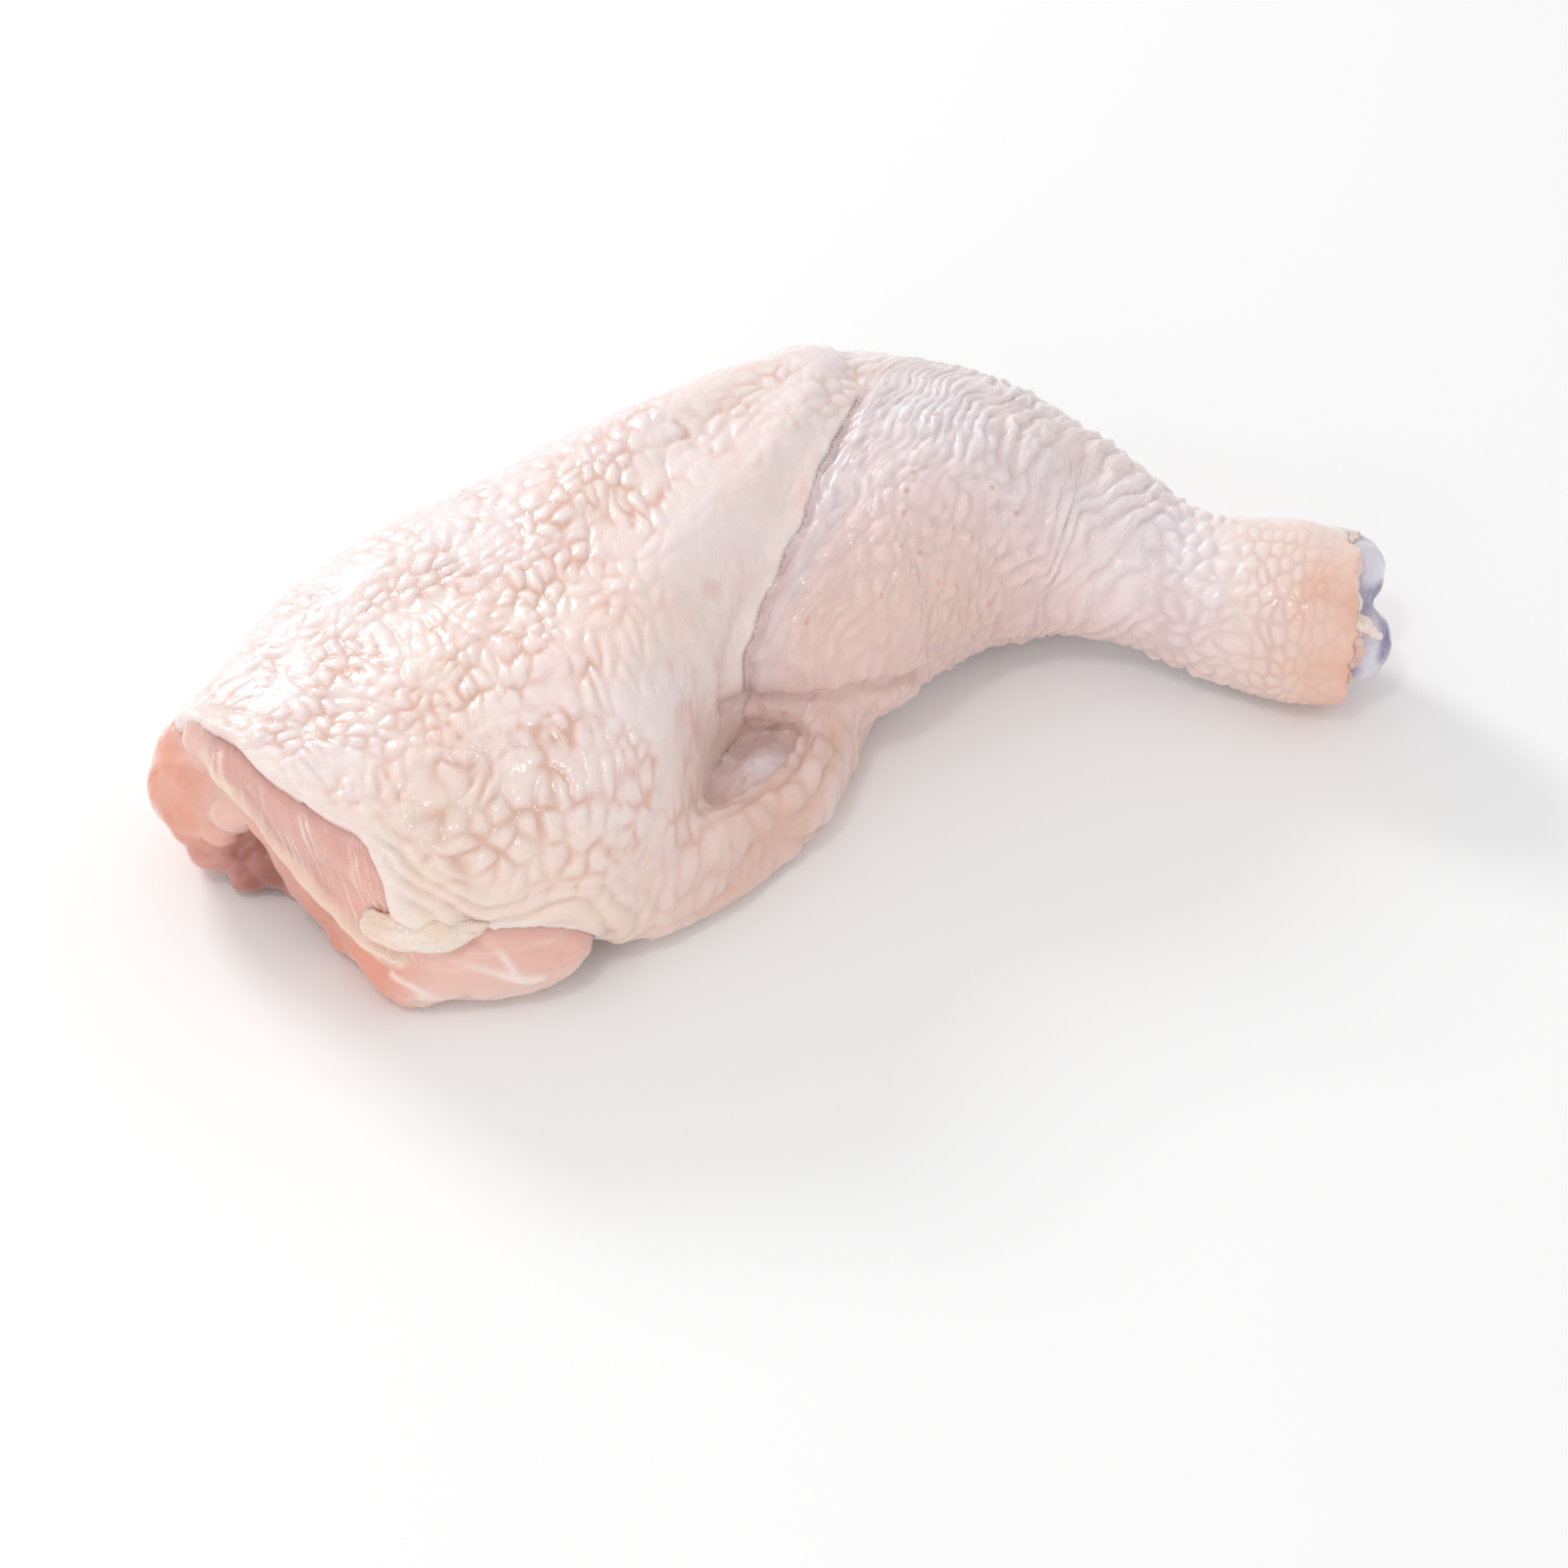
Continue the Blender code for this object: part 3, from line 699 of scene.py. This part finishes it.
def limb_colour(points, limb, round_limb, tone):
    """The drumstick's colour: lilac on top, warmer in front, orange at the shank's end."""
    x = points[:, 0]
    tint = mix(SKIN_PALE, SKIN_LILAC, 0.55 + 0.6 * tone)
    tint = mix(tint, SKIN_PINK, smoothstep(2, 30, round_limb) * 0.6)
    tint = mix(tint, SKIN_TAN, smoothstep(16, 40, round_limb) * 0.6)
    tint = mix(tint, SKIN_MAUVE, limb.valley * 0.4)
    tint = mix(tint, SKIN_WARM, smoothstep(62, 74, x) * 0.6)
    tint = mix(tint, PORE_PINK, limb.pore * 0.7)
    front = smoothstep(-6, 14, round_limb)
    tint = mix(tint, SKIN_PEACH, smoothstep(73, 82, x) * (0.25 + 0.5 * front))
    tint = mix(tint, SKIN_ORANGE, smoothstep(78, 92, x + 7 * noise(points, 6, 303)) * front * 0.6)
    return mix(tint, SKIN_LINE, limb.scale_line * 0.45)


def web_colour(web):
    """The web's colour: paler on its ridges."""
    tint = mix(SKIN_TAN, SKIN_PALE, smoothstep(0.4, 0.9, web.ridge) * 0.5)
    return mix(tint, SKIN_VALLEY, np.clip(web.groove**2 + (1 - web.ridge) ** 2, 0, 1) * 0.5)


def skin_body(node, meat_tree):
    """The remeshed skin, thinned where it doesn't show. Its distance from the meat is stored as depth."""
    obj = dense_body("leg_skin", body_of_node(node), SKIN_VOXEL, 4)
    points = leg_points(obj.data)
    depth = distance_to(meat_tree, points, DISTANCE_LIMIT)
    store(obj.data, "depth", "FLOAT", depth)
    on_table = points[:, 2] < LEG_ORIGIN[2] + TABLE_GAP
    thin_hidden(obj, np.maximum(1 - smoothstep(*SKIN_SHOWN, depth), on_table))
    return obj


def store_skin_grain(mesh, thigh, limb, limb_side, web_zone, x):
    """Stores where the material's fine folds lie on the skin, and how strong they are."""
    on_limb_side = limb_side > 0.5
    along = np.where(on_limb_side, (limb.along + 0.16 * limb.round) / 1.5, thigh.along / 1.7)
    round_it = np.where(on_limb_side, limb.round / 7, thigh.round / 2.2)
    store(mesh, "grain", "FLOAT_VECTOR", np.column_stack([along, round_it, 0 * x]))
    limb_strength = (1 - 0.5 * smoothstep(4, 16, limb.round)) * (1 - smoothstep(54, 64, x))
    strength = np.where(on_limb_side, limb_strength, 0.2)
    strength *= (1 - web_zone) * smoothstep(0, 0.5, np.abs(2 * limb_side - 1))
    store(mesh, "grained", "FLOAT", strength)


def make_skin(node, meat_tree):
    """The skin's two pieces, with the relief and colours of thigh, drumstick and web blended."""
    obj = skin_body(node, meat_tree)
    mesh = obj.data
    points = leg_points(mesh)
    normals = normals_of(mesh)
    x, y, z = points.T
    outer = smoothstep(*SKIN_SHOWN, stored(mesh, "depth"))
    above = smoothstep(0.3, 4.0, z - LEG_ORIGIN[2])

    # The drumstick's skin takes over at the crease, more slowly in the crook, behind and underneath
    wander = np.column_stack([noise(points, 5, 5), noise(points, 5, 6), 0 * x])
    crease, _ = beside(points + 0.7 * wander, CREASE)
    in_crook = smoothstep(10, 0, y)
    behind = np.maximum(smoothstep(58, 72, y), smoothstep(14, 4, z))
    limb_side = smoothstep(-0.9 - 4 * in_crook - 9 * behind, 0.9 + 12 * in_crook + 9 * behind, crease)

    thigh = thigh_relief(points, crease)
    limb = limb_relief(points, crease)
    web = web_relief(points)
    web_zone = limb_side * smoothstep(1.06, 1.22, limb.share) * (1 - smoothstep(20, 30, x))
    fold_low_edge(points, thigh)
    # Less relief on the wall beside the crook, which the thigh's coordinates squeeze
    thigh.height *= 1 - 0.6 * smoothstep(0.7, 1.0, normals[:, 0])
    height = mix(thigh.height, mix(limb.height, web.height, web_zone), limb_side)

    # The thigh's skin ends in a lip over the drumstick
    on_top = smoothstep(16, 23, z) * smoothstep(9, 14, y) * (1 - smoothstep(58, 72, y))
    lip = smoothstep(-12, -1.5, crease) * (1 - smoothstep(-0.4, 0.8, crease))
    height += on_top * (0.9 * lip + 0.6 * bell(crease - 2.6, 1.6))
    # The cut rim at the hip end is thick and round
    cut, _ = beside(points, HIP_CUT)
    rim = bell(cut, 2.2) * smoothstep(8, 14, z)
    height = mix(height, RIM_HEIGHT, 0.8 * rim)

    height *= outer * above
    moved = points + normals * height[:, None]
    # Slack skin fills the bottom of the pocket in the crook
    pocket = near_place(points, *POCKET)
    moved[:, 2] += POCKET_RISE * pocket * smoothstep(-0.2, 0.5, normals[:, 2])
    # Round the drumstick, back to zero underneath, where the two ways round meet
    round_limb = limb.round * smoothstep(-0.95, -0.6, normals[:, 2])
    # The end of the shank: ragged, and cut back on its far side
    cut_back = SHANK_CUT_BACK * smoothstep(2, -12, round_limb)
    moved[:, 0] -= smoothstep(82, 90, x) * (cut_back + 0.3 + 1.4 * rough_noise(points, 5, 206))
    set_leg_points(mesh, moved)
    soften(obj, 2)
    mesh = obj.data

    tone = 2 * noise(points, 22, 301)
    limb_tint = limb_colour(points, limb, round_limb, tone)
    limb_tint = mix(limb_tint, web_colour(web), web_zone * 0.75)
    limb_tint = mix(limb_tint, SKIN_POCKET, pocket)
    tint = mix(thigh_colour(points, thigh, tone), limb_tint, limb_side)
    tint = mix(tint, SKIN_SHADE, on_top * bell(crease - 2.5, 3.0) * limb_side * 0.6)
    # Painted highlight on the thigh's lip at the crease
    tint = mix(tint, SKIN_RIM_AND_HIGHLIGHT, on_top * bell(crease + 1.8, 1.6) * 0.4)
    # Painted shadow: a thin mauve line just past the lip, in the crease
    tint = mix(tint, SKIN_MAUVE, on_top * bell(crease - 0.8, 0.9) * 0.5)
    # Painted shadow along the drumstick's lower outline, over the web
    tint = mix(tint, SKIN_MAUVE, near_line(points, OVERHANG, 2.2) * 0.6)
    tint = mix(tint, SKIN_RIM_AND_HIGHLIGHT, np.maximum(1 - outer, rim * 0.7))

    store_skin_grain(mesh, thigh, limb, limb_side, web_zone, x)
    store(mesh, "side", "FLOAT", crease)
    paint(obj, tint, 0.55 + 0.6 * noise(points, 8, 401) + 0.2 * thigh.knee_zone - 0.15 * thigh.groove)
    thin_flat(obj, SKIN_TRIANGLES)
    return split_in_two(obj, ("thigh_skin", "drumstick_skin"), stored(obj.data, "side"))


MEAT_PINK = colour(235, 181, 165)
MEAT_PALE = colour(241, 217, 208)
MEAT_MAUVE = colour(224, 176, 168)
MEAT_ORANGE = colour(228, 150, 124)
MEAT_DEEP = colour(212, 156, 146)
MEAT_BROWN = colour(142, 76, 66)
TISSUE_WHITE = colour(246, 232, 225)
TISSUE_CREAM = colour(245, 222, 205)

# Small forms at the hip end: centre, radii, turn, colour
HIP_FORMS = [
    ((-86.4, 2.4, 27.6), (3.6, 2.8, 3.6), (0, 20, 30), TISSUE_WHITE),
    ((-82.2, -4.4, 18.6), (3.4, 2.8, 3.6), (0, 10, 0), MEAT_PALE),
    ((-84.6, -3.6, 14.4), (2.6, 2.4, 2.6), (0, 0, 0), MEAT_PINK),
    ((-76.5, -2.5, 7.0), (6.0, 5.0, 5.4), (0, 0, 0), MEAT_BROWN),
    ((-80.6, -3.2, 4.4), (4.4, 3.4, 3.6), (0, 0, 20), MEAT_BROWN),
    ((-86.6, -1.6, 6.6), (4.6, 3.4, 3.4), (0, 0, 0), MEAT_DEEP),
    ((-74.0, -4.6, 3.4), (3.0, 2.6, 2.8), (0, 0, 0), MEAT_DEEP),
]
# The thick pale border of the sheet of muscle at the cut
SHEET_BORDER = [
    (-86, -1, 26.5), (-82.5, -5, 25.5), (-79, -8.5, 23.3), (-75.8, -11.5, 21.5), (-72.5, -14.5, 18.5),
    (-69, -17.5, 15.8), (-66, -20.5, 14.2), (-62.5, -24, 12.6), (-59.5, -27, 12), (-56.5, -29.5, 12.6),
]
SHEET_BORDER_RADII = [0.9, 1.3, 1.4, 1.5, 1.4, 1.3, 1.3, 1.2, 1.0, 0.7]
# The round muscle at the hip end, and the hollow beside it, where dark painted shade goes: place, reach
ROUND_MUSCLE = ((-90, 4, 16), (13, 12, 14))
HOLLOW_SHADE = ((-73, -6, 8), (8, 9, 9))
# Pale strands that lie on the meat: width, height, then the places they run through
STRANDS = [
    (0.8, 0.4, [(-52, -29.5, 15.5), (-46, -30.5, 12.5), (-41, -30, 10), (-36, -28, 8)]),
    (0.6, 0.3, [(-41.5, -28.8, 14.5), (-40.3, -29.3, 12), (-38.6, -29.5, 9)]),
    (0.6, 0.25, [(-57.5, -29.5, 10), (-54, -30.5, 8.4), (-50, -31, 6), (-46, -31, 4)]),
    (1.0, 0.4, [(-53, -31, 6.5), (-50, -31.5, 5), (-47.5, -31.5, 4.6)]),
]


def meat_fields(points):
    """What the meat's height and colour share: muscles, their fibres and pale strands."""
    x, y, z = points.T
    # The sheet of muscle at the cut, down to its thick border, and the lobes under the skin's lower edge
    border_height = np.interp(x, [-86, -76, -66, -57], [26, 21.5, 14.5, 12.5])
    above_border = smoothstep(-1.5, 1.5, z - border_height)
    return SimpleNamespace(
        above_border=above_border,
        sheet=(1 - smoothstep(-54, -48, x)) * above_border * smoothstep(-88, -84, x),
        lobe=smoothstep(-60, -52, x),
        round_muscle=near_place(points, *ROUND_MUSCLE),
        fibre=folds((x + 0.25 * z) / 0.95, z / 18, 511),
        lobe_fibre=folds(z / 2.0, x / 14, 512),
        bundle=folds((y + 0.4 * x) / 2.6, z / 12, 513),
        strands=[near_line(points, route, width) for width, _, route in STRANDS],
    )


def meat_height(points, meat):
    """Height of the meat's relief in millimetres."""
    height = 0.22 * meat.sheet * (meat.fibre - FOLD_MEAN) + 0.15 * meat.lobe * (meat.lobe_fibre - FOLD_MEAN)
    height += 0.8 * noise(points, 9, 521) + 0.32 * noise(points, 3.2, 531)
    height += (1 - smoothstep(2, 10, points[:, 2])) * noise(points, 4.5, 532)
    height += meat.round_muscle * (0.35 * (meat.bundle - FOLD_MEAN) + 1.1 * noise(points, 6, 533))
    for strand, (_, rise, _) in zip(meat.strands, STRANDS):
        height += rise * strand
    return height


def meat_colour(points, meat, shown):
    """The meat's colour, duller where the skin hides it."""
    x, y, z = points.T
    tone = 2 * noise(points, 14, 541)
    tint = mix(MEAT_PINK, MEAT_ORANGE, np.clip(0.3 + 0.6 * tone, 0, 1) * 0.5)
    sheet_tint = mix(MEAT_MAUVE, MEAT_PINK, smoothstep(-80, -60, x) + 0.3 * tone)
    sheet_tint = mix(sheet_tint, TISSUE_WHITE, smoothstep(0.70, 0.98, meat.fibre) * 0.7)
    tint = mix(tint, sheet_tint, meat.sheet)
    side_wall = smoothstep(-72, -66, x) * (1 - smoothstep(-56, -50, x)) * (1 - meat.above_border)
    tint = mix(tint, MEAT_ORANGE, side_wall * 0.8)
    tint = mix(tint, MEAT_PALE, meat.lobe * (0.35 + 0.4 * (1 - smoothstep(3, 12, z))))
    tint = mix(tint, MEAT_PALE, meat.lobe * smoothstep(0.8, 0.95, meat.lobe_fibre) * 0.4)
    tint = mix(tint, mix(MEAT_ORANGE, MEAT_PINK, smoothstep(16, 36, z)), meat.round_muscle * 0.95)
    behind = smoothstep(3, 13, y) * (1 - smoothstep(-84, -76, x))
    tint = mix(tint, MEAT_MAUVE, behind * 0.6)
    pale_bundle = np.maximum(0.5 * meat.round_muscle, behind) * smoothstep(0.7, 0.97, meat.bundle)
    tint = mix(tint, MEAT_PALE, pale_bundle * 0.4)
    tint = mix(tint, MEAT_DEEP, (1 - smoothstep(3, 11, z)) * (1 - smoothstep(-80, -68, x)) * 0.6)
    # Painted shade: dark brown in the hollow beside the round muscle
    tint = mix(tint, MEAT_BROWN, near_place(points, *HOLLOW_SHADE) * 0.9)
    for centre, radii, _, form_tint in HIP_FORMS:
        tint = mix(tint, form_tint, near_place(points, centre, np.array(radii) * 1.2) * 0.95)
    for strand in meat.strands:
        tint = mix(tint, TISSUE_WHITE, strand * 0.8)
    border = near_line(points, SHEET_BORDER, 2.0)
    tint = mix(tint, TISSUE_CREAM, smoothstep(0.35, 0.8, border) * 0.85)
    ankle = smoothstep(70, 80, x)
    tint = mix(tint, TISSUE_CREAM, ankle)
    return mix(tint, MEAT_MAUVE, (1 - shown) * (1 - ankle) * 0.6)


def make_meat(node, skin_tree):
    """The meat, with the small forms at the hip end and the border of the cut sheet grown into it."""
    bm = body_of_node(node)
    for centre, radii, turn, _ in HIP_FORMS:
        lump_into(bm, centre, radii, turn)
    tube_into(bm, SHEET_BORDER, SHEET_BORDER_RADII)
    obj = dense_body("leg_meat", bm, MEAT_VOXEL, 4)
    mesh = obj.data
    points = leg_points(mesh)
    normals = normals_of(mesh)
    x, _, z = points.T
    shown = smoothstep(*MEAT_SHOWN, distance_to(skin_tree, points, DISTANCE_LIMIT))
    above = smoothstep(0.3, 3.0, z - LEG_ORIGIN[2])
    meat = meat_fields(points)

    # Where it doesn't show, the meat swells a little into the skin, so that no gap opens between them
    move = meat_height(points, meat) * shown * above + 0.2 * (1 - shown) * above
    set_leg_points(mesh, points + normals * move[:, None])
    store(mesh, "grain", "FLOAT_VECTOR", np.column_stack([(x + 0.25 * z) / 0.6, z / 12, 0 * z]))
    store(mesh, "grained", "FLOAT", meat.sheet * (1 - meat.lobe) * 0.5)
    paint(obj, meat_colour(points, meat, shown), 0.75 + 0.4 * noise(points, 6, 551))
    thin_hidden(obj, np.maximum(1 - shown, z < LEG_ORIGIN[2] + TABLE_GAP))
    thin_flat(obj, MEAT_TRIANGLES)
    return obj


CARTILAGE_PALE = colour(226, 221, 232)
CARTILAGE_BLUE = colour(112, 100, 150)
FAT_CREAM = colour(244, 227, 216)
FAT_YELLOW = colour(241, 213, 193)
# How far the flap of fat is drawn in under the skin's corner
FLAP_SHIFT = (0, 0.7, 1.3)

# Bits of ligament and tissue round the knuckle: centre, radii, turn, colour
KNUCKLE_BITS = [
    ((89.0, 31.8, 17.4), (1.9, 1.8, 3.4), (0, 10, 0), MEAT_DEEP),
    ((88.2, 32.4, 12.8), (1.4, 1.6, 3.0), (0, 0, 0), MEAT_ORANGE),
    ((89.8, 33.6, 21.4), (2.0, 1.6, 1.9), (0, 20, 0), TISSUE_WHITE),
    ((92.0, 33.6, 20.0), (1.9, 0.9, 1.0), (0, 40, 0), TISSUE_WHITE),
    ((89.2, 36.0, 24.4), (1.2, 1.8, 2.0), (30, 0, 0), TISSUE_CREAM),
    ((88.4, 40.2, 26.0), (1.2, 2.6, 1.2), (20, 0, 0), TISSUE_WHITE),
    ((88.6, 35.0, 6.4), (1.2, 1.8, 1.4), (0, 0, 0), TISSUE_CREAM),
]


def make_flap(node):
    """The flap of fat, stringy and drawn in under the skin's corner."""
    obj = dense_body("cut_fat", body_of_node(node), FLAP_VOXEL, 2)
    mesh = obj.data
    points = leg_points(mesh)
    x, _, z = points.T
    strand = folds(z / 1.6 + 0.08 * x, x / 9, 603)
    height = 0.3 + 0.7 * noise(points, 5, 601) + 0.25 * (strand - 0.5)
    height -= 0.9 * smoothstep(-50, -43, x)
    set_leg_points(mesh, points + normals_of(mesh) * height[:, None] + FLAP_SHIFT)
    tint = mix(FAT_CREAM, FAT_YELLOW, 0.2 + 1.2 * noise(points, 5, 611) + 0.4 * (1 - strand))
    store(mesh, "grain", "FLOAT_VECTOR", points / 1.5)
    paint(obj, tint, np.full(len(points), 0.7))
    return obj


def make_bone(node):
    """The bone, thinned inside the leg, with blue and pale cartilage at the knuckle."""
    obj = dense_body("knuckle_bone", body_of_node(node), BONE_VOXEL, 2)
    points = leg_points(obj.data)
    thin_hidden(obj, 1 - smoothstep(78, 84, points[:, 0]))
    thin_flat(obj, BONE_TRIANGLES)
    mesh = obj.data
    points = leg_points(mesh)
    shown = smoothstep(84, 88, points[:, 0])
    height = (0.22 * noise(points, 5, 621) + 0.08 * noise(points, 1.8, 622)) * shown
    set_leg_points(mesh, points + normals_of(mesh) * height[:, None])
    blue = np.clip(0.4 + 1.8 * noise(points, 5, 631), 0, 1)
    blue *= 0.6 + 0.4 * smoothstep(91, 95, points[:, 0])
    store(mesh, "grain", "FLOAT_VECTOR", points / 2)
    paint(obj, mix(CARTILAGE_PALE, CARTILAGE_BLUE, blue), np.full(len(points), 0.95))
    return obj


def make_bits():
    """The bits of ligament and tissue round the knuckle."""
    bm = bmesh.new()
    for centre, radii, turn, _ in KNUCKLE_BITS:
        lump_into(bm, centre, radii, turn)
    obj = dense_body("knuckle_tissue", bm, BITS_VOXEL, 1)
    mesh = obj.data
    points = leg_points(mesh)
    height = 0.8 * noise(points, 1.8, 641)
    set_leg_points(mesh, points + normals_of(mesh) * height[:, None])
    tint = np.tile(TISSUE_CREAM, (len(points), 1))
    for centre, radii, _, bit_tint in KNUCKLE_BITS:
        tint = mix(tint, bit_tint, near_place(points, centre, np.array(radii) * 1.3))
    store(mesh, "grain", "FLOAT_VECTOR", points / 1.2)
    paint(obj, tint, np.full(len(points), 0.85))
    return obj


# Materials: roughness dry and wet, how much light goes under the surface and how far in millimetres,
# wet film, and the depths of the grain and of the fine relief in millimetres
FLESH = {
    "skin": (0.50, 0.30, 0.45, 0.7, 0.60, 0.12, 0.045),
    "meat": (0.38, 0.20, 0.50, 1.6, 0.60, 0.10, 0.030),
    "fat": (0.38, 0.26, 0.50, 1.0, 0.35, 0.10, 0.040),
    "cartilage": (0.20, 0.10, 0.40, 1.2, 0.60, 0.05, 0.010),
}
# Red light goes farther under the surface than green and blue
FLESH_RADIUS = (1.0, 0.7, 0.6)
# Sizes in millimetres of the mottled colour, the uneven film and the pores
MOTTLE_SIZE = 2.2
FILM_SIZE = 3.0
PORE_SIZE = 0.7

TABLE_SHADE = 0.96
TABLE_REACH = 3.0
ROOM_LIGHT = 0.73
# Lights: name, place and width in metres, power
LIGHTS = [
    ("window", (-0.60, 0.72, 0.52), 0.30, 4.2),
    ("top", (-0.20, -0.40, 0.85), 0.12, 0.9),
    ("fill", (-0.25, -0.80, 0.35), 0.60, 0.9),
]
LIGHT_TARGET = (0, 0, 0.02)


def add_node(tree, kind, links=None, inputs=None, **properties):
    """A shader node. links joins its inputs to outputs of other nodes, inputs sets their values."""
    node = tree.nodes.new(kind)
    for name, value in (inputs or {}).items():
        node.inputs[name].default_value = value
    for name, value in properties.items():
        setattr(node, name, value)
    for name, source in (links or {}).items():
        tree.links.new(source, node.inputs[name])
    return node


def painted(tree, name, output):
    """What paint and store left on the mesh under a name."""
    return add_node(tree, "ShaderNodeAttribute", attribute_name=name).outputs[output]


def noise_node(tree, vector, size, detail=2.0):
    """Noise between 0 and 1 that changes over a length of size."""
    inputs = {"Scale": 1 / size, "Detail": detail}
    return add_node(tree, "ShaderNodeTexNoise", {"Vector": vector}, inputs).outputs[0]


def math_node(tree, operation, *values):
    """One sum. values are numbers or outputs of other nodes."""
    links = {i: value for i, value in enumerate(values) if not isinstance(value, float)}
    inputs = {i: value for i, value in enumerate(values) if isinstance(value, float)}
    return add_node(tree, "ShaderNodeMath", links, inputs, operation=operation).outputs[0]


def spread_node(tree, value, low, high, most=1.0, shape="LINEAR"):
    """A value from 0 to most, spread from low to high."""
    inputs = {"From Max": most, "To Min": low, "To Max": high}
    node = add_node(tree, "ShaderNodeMapRange", {"Value": value}, inputs, interpolation_type=shape)
    return node.outputs[0]


def bump_layer(tree, source, depth, below=None):
    """Relief from a value between 0 and 1. depth is in millimetres."""
    inputs = {"Strength": 1.0, "Distance": depth * MM}
    bump = add_node(tree, "ShaderNodeBump", {"Height": source}, inputs)
    if below is not None:
        tree.links.new(below, bump.inputs["Normal"])
    return bump.outputs["Normal"]


def flesh_material(name):
    """Moist flesh: painted colour, light that goes under the surface, a wet film, and fine relief."""
    dry, wet, subsurface, reach, coat, grain_depth, fine_depth = FLESH[name]
    material = bpy.data.materials.new(name)
    material.use_nodes = True
    tree = material.node_tree
    shader = tree.nodes["Principled BSDF"]
    place = add_node(tree, "ShaderNodeTexCoord").outputs["Object"]

    mottle = spread_node(tree, noise_node(tree, place, MOTTLE_SIZE * MM, 3.0), 0.95, 1.05)
    links = {0: painted(tree, "tint", "Color"), "Scale": mottle}
    tinted = add_node(tree, "ShaderNodeVectorMath", links, operation="SCALE")
    tree.links.new(tinted.outputs[0], shader.inputs["Base Color"])

    # Roughness from the wetness, broken up by fine noise
    film = noise_node(tree, place, FILM_SIZE * MM)
    change = math_node(tree, "MULTIPLY_ADD", film, 0.5, -0.25)
    wetness = math_node(tree, "ADD", painted(tree, "wet", "Fac"), change)
    tree.links.new(spread_node(tree, wetness, dry, wet), shader.inputs["Roughness"])

    shader.inputs["Subsurface Weight"].default_value = subsurface
    shader.inputs["Subsurface Radius"].default_value = FLESH_RADIUS
    shader.inputs["Subsurface Scale"].default_value = reach * MM
    shader.inputs["IOR"].default_value = 1.42
    shader.inputs["Coat Weight"].default_value = coat
    shader.inputs["Coat Roughness"].default_value = 0.10
    shader.inputs["Coat IOR"].default_value = 1.45

    # Fine folds with sharp valleys, where the noise passes its middle value
    along = noise_node(tree, painted(tree, "grain", "Vector"), 1.0, 1.5)
    away = math_node(tree, "ABSOLUTE", math_node(tree, "SUBTRACT", along, 0.5))
    fold = spread_node(tree, away, 0.0, 1.0, 0.11, "SMOOTHSTEP")
    kept = math_node(tree, "MULTIPLY", fold, painted(tree, "grained", "Fac"))
    normal = bump_layer(tree, kept, grain_depth)
    normal = bump_layer(tree, noise_node(tree, place, PORE_SIZE * MM), fine_depth, normal)
    tree.links.new(normal, shader.inputs["Normal"])
    tree.links.new(normal, shader.inputs["Coat Normal"])
    return material


def table_material():
    material = bpy.data.materials.new("table")
    material.use_nodes = True
    shader = material.node_tree.nodes["Principled BSDF"]
    shader.inputs["Base Color"].default_value = (TABLE_SHADE, TABLE_SHADE, TABLE_SHADE, 1.0)
    shader.inputs["Roughness"].default_value = 0.7
    return material


def add_camera():
    """The camera at the photograph's viewing angle."""
    data = bpy.data.cameras.new("camera")
    data.lens = CAMERA_LENS
    data.clip_start, data.clip_end = 0.01, 20.0
    camera = add_object("camera", data)
    angle = math.radians(CAMERA_ELEVATION)
    back = Vector((0.0, -math.cos(angle), math.sin(angle)))
    target = Vector((np.array(CAMERA_TARGET) - LEG_ORIGIN) * MM)
    camera.location = target + back * (CAMERA_DISTANCE * MM)
    camera.rotation_euler = (-back).to_track_quat("-Z", "Y").to_euler()
    bpy.context.scene.camera = camera


def add_area_light(name, place, size, power):
    """A round soft light that points at the leg."""
    data = bpy.data.lights.new(name, "AREA")
    data.shape = "DISK"
    data.size = size
    data.energy = power
    light = add_object(name, data)
    light.location = place
    light.rotation_euler = (Vector(LIGHT_TARGET) - Vector(place)).to_track_quat("-Z", "Y").to_euler()


def add_stage():
    """The table, the room's even light and the lamps."""
    bm = bmesh.new()
    bmesh.ops.create_grid(bm, x_segments=1, y_segments=1, size=TABLE_REACH)
    mesh = bpy.data.meshes.new("table")
    bm.to_mesh(mesh)
    bm.free()
    table = add_object("table", mesh)
    table.data.materials.append(table_material())

    world = bpy.data.worlds.new("room")
    world.use_nodes = True
    background = world.node_tree.nodes["Background"]
    background.inputs["Color"].default_value = (1.0, 1.0, 1.0, 1.0)
    background.inputs["Strength"].default_value = ROOM_LIGHT
    bpy.context.scene.world = world
    for light in LIGHTS:
        add_area_light(*light)
    bpy.context.scene.view_settings.view_transform = "Standard"


def main():
    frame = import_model()
    nodes = frame["nodes"]
    skin_tree = tree_of(nodes["skin"])
    meat_tree = tree_of(nodes["meat"])

    thigh_skin, drumstick_skin = make_skin(nodes["skin"], meat_tree)
    # Each piece, the CAD node that it replaces, and its slot, which is its material's name too
    dressed = [
        (thigh_skin, "skin", "skin"),
        (drumstick_skin, "skin", "skin"),
        (make_meat(nodes["meat"], skin_tree), "meat", "meat"),
        (make_flap(nodes["fat_flap"]), "fat_flap", "fat"),
        (make_bone(nodes["leg_bone"]), "leg_bone", "cartilage"),
    ]
    materials = {name: flesh_material(name) for name in FLESH}
    for piece, node, slot in dressed:
        piece.data.materials.clear()
        piece.data.materials.append(materials[slot])
        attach(piece, "root")
        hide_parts(node)
    bits = make_bits()
    bits.data.materials.append(materials["meat"])
    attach(bits, "root")

    add_camera()
    add_stage()


main()
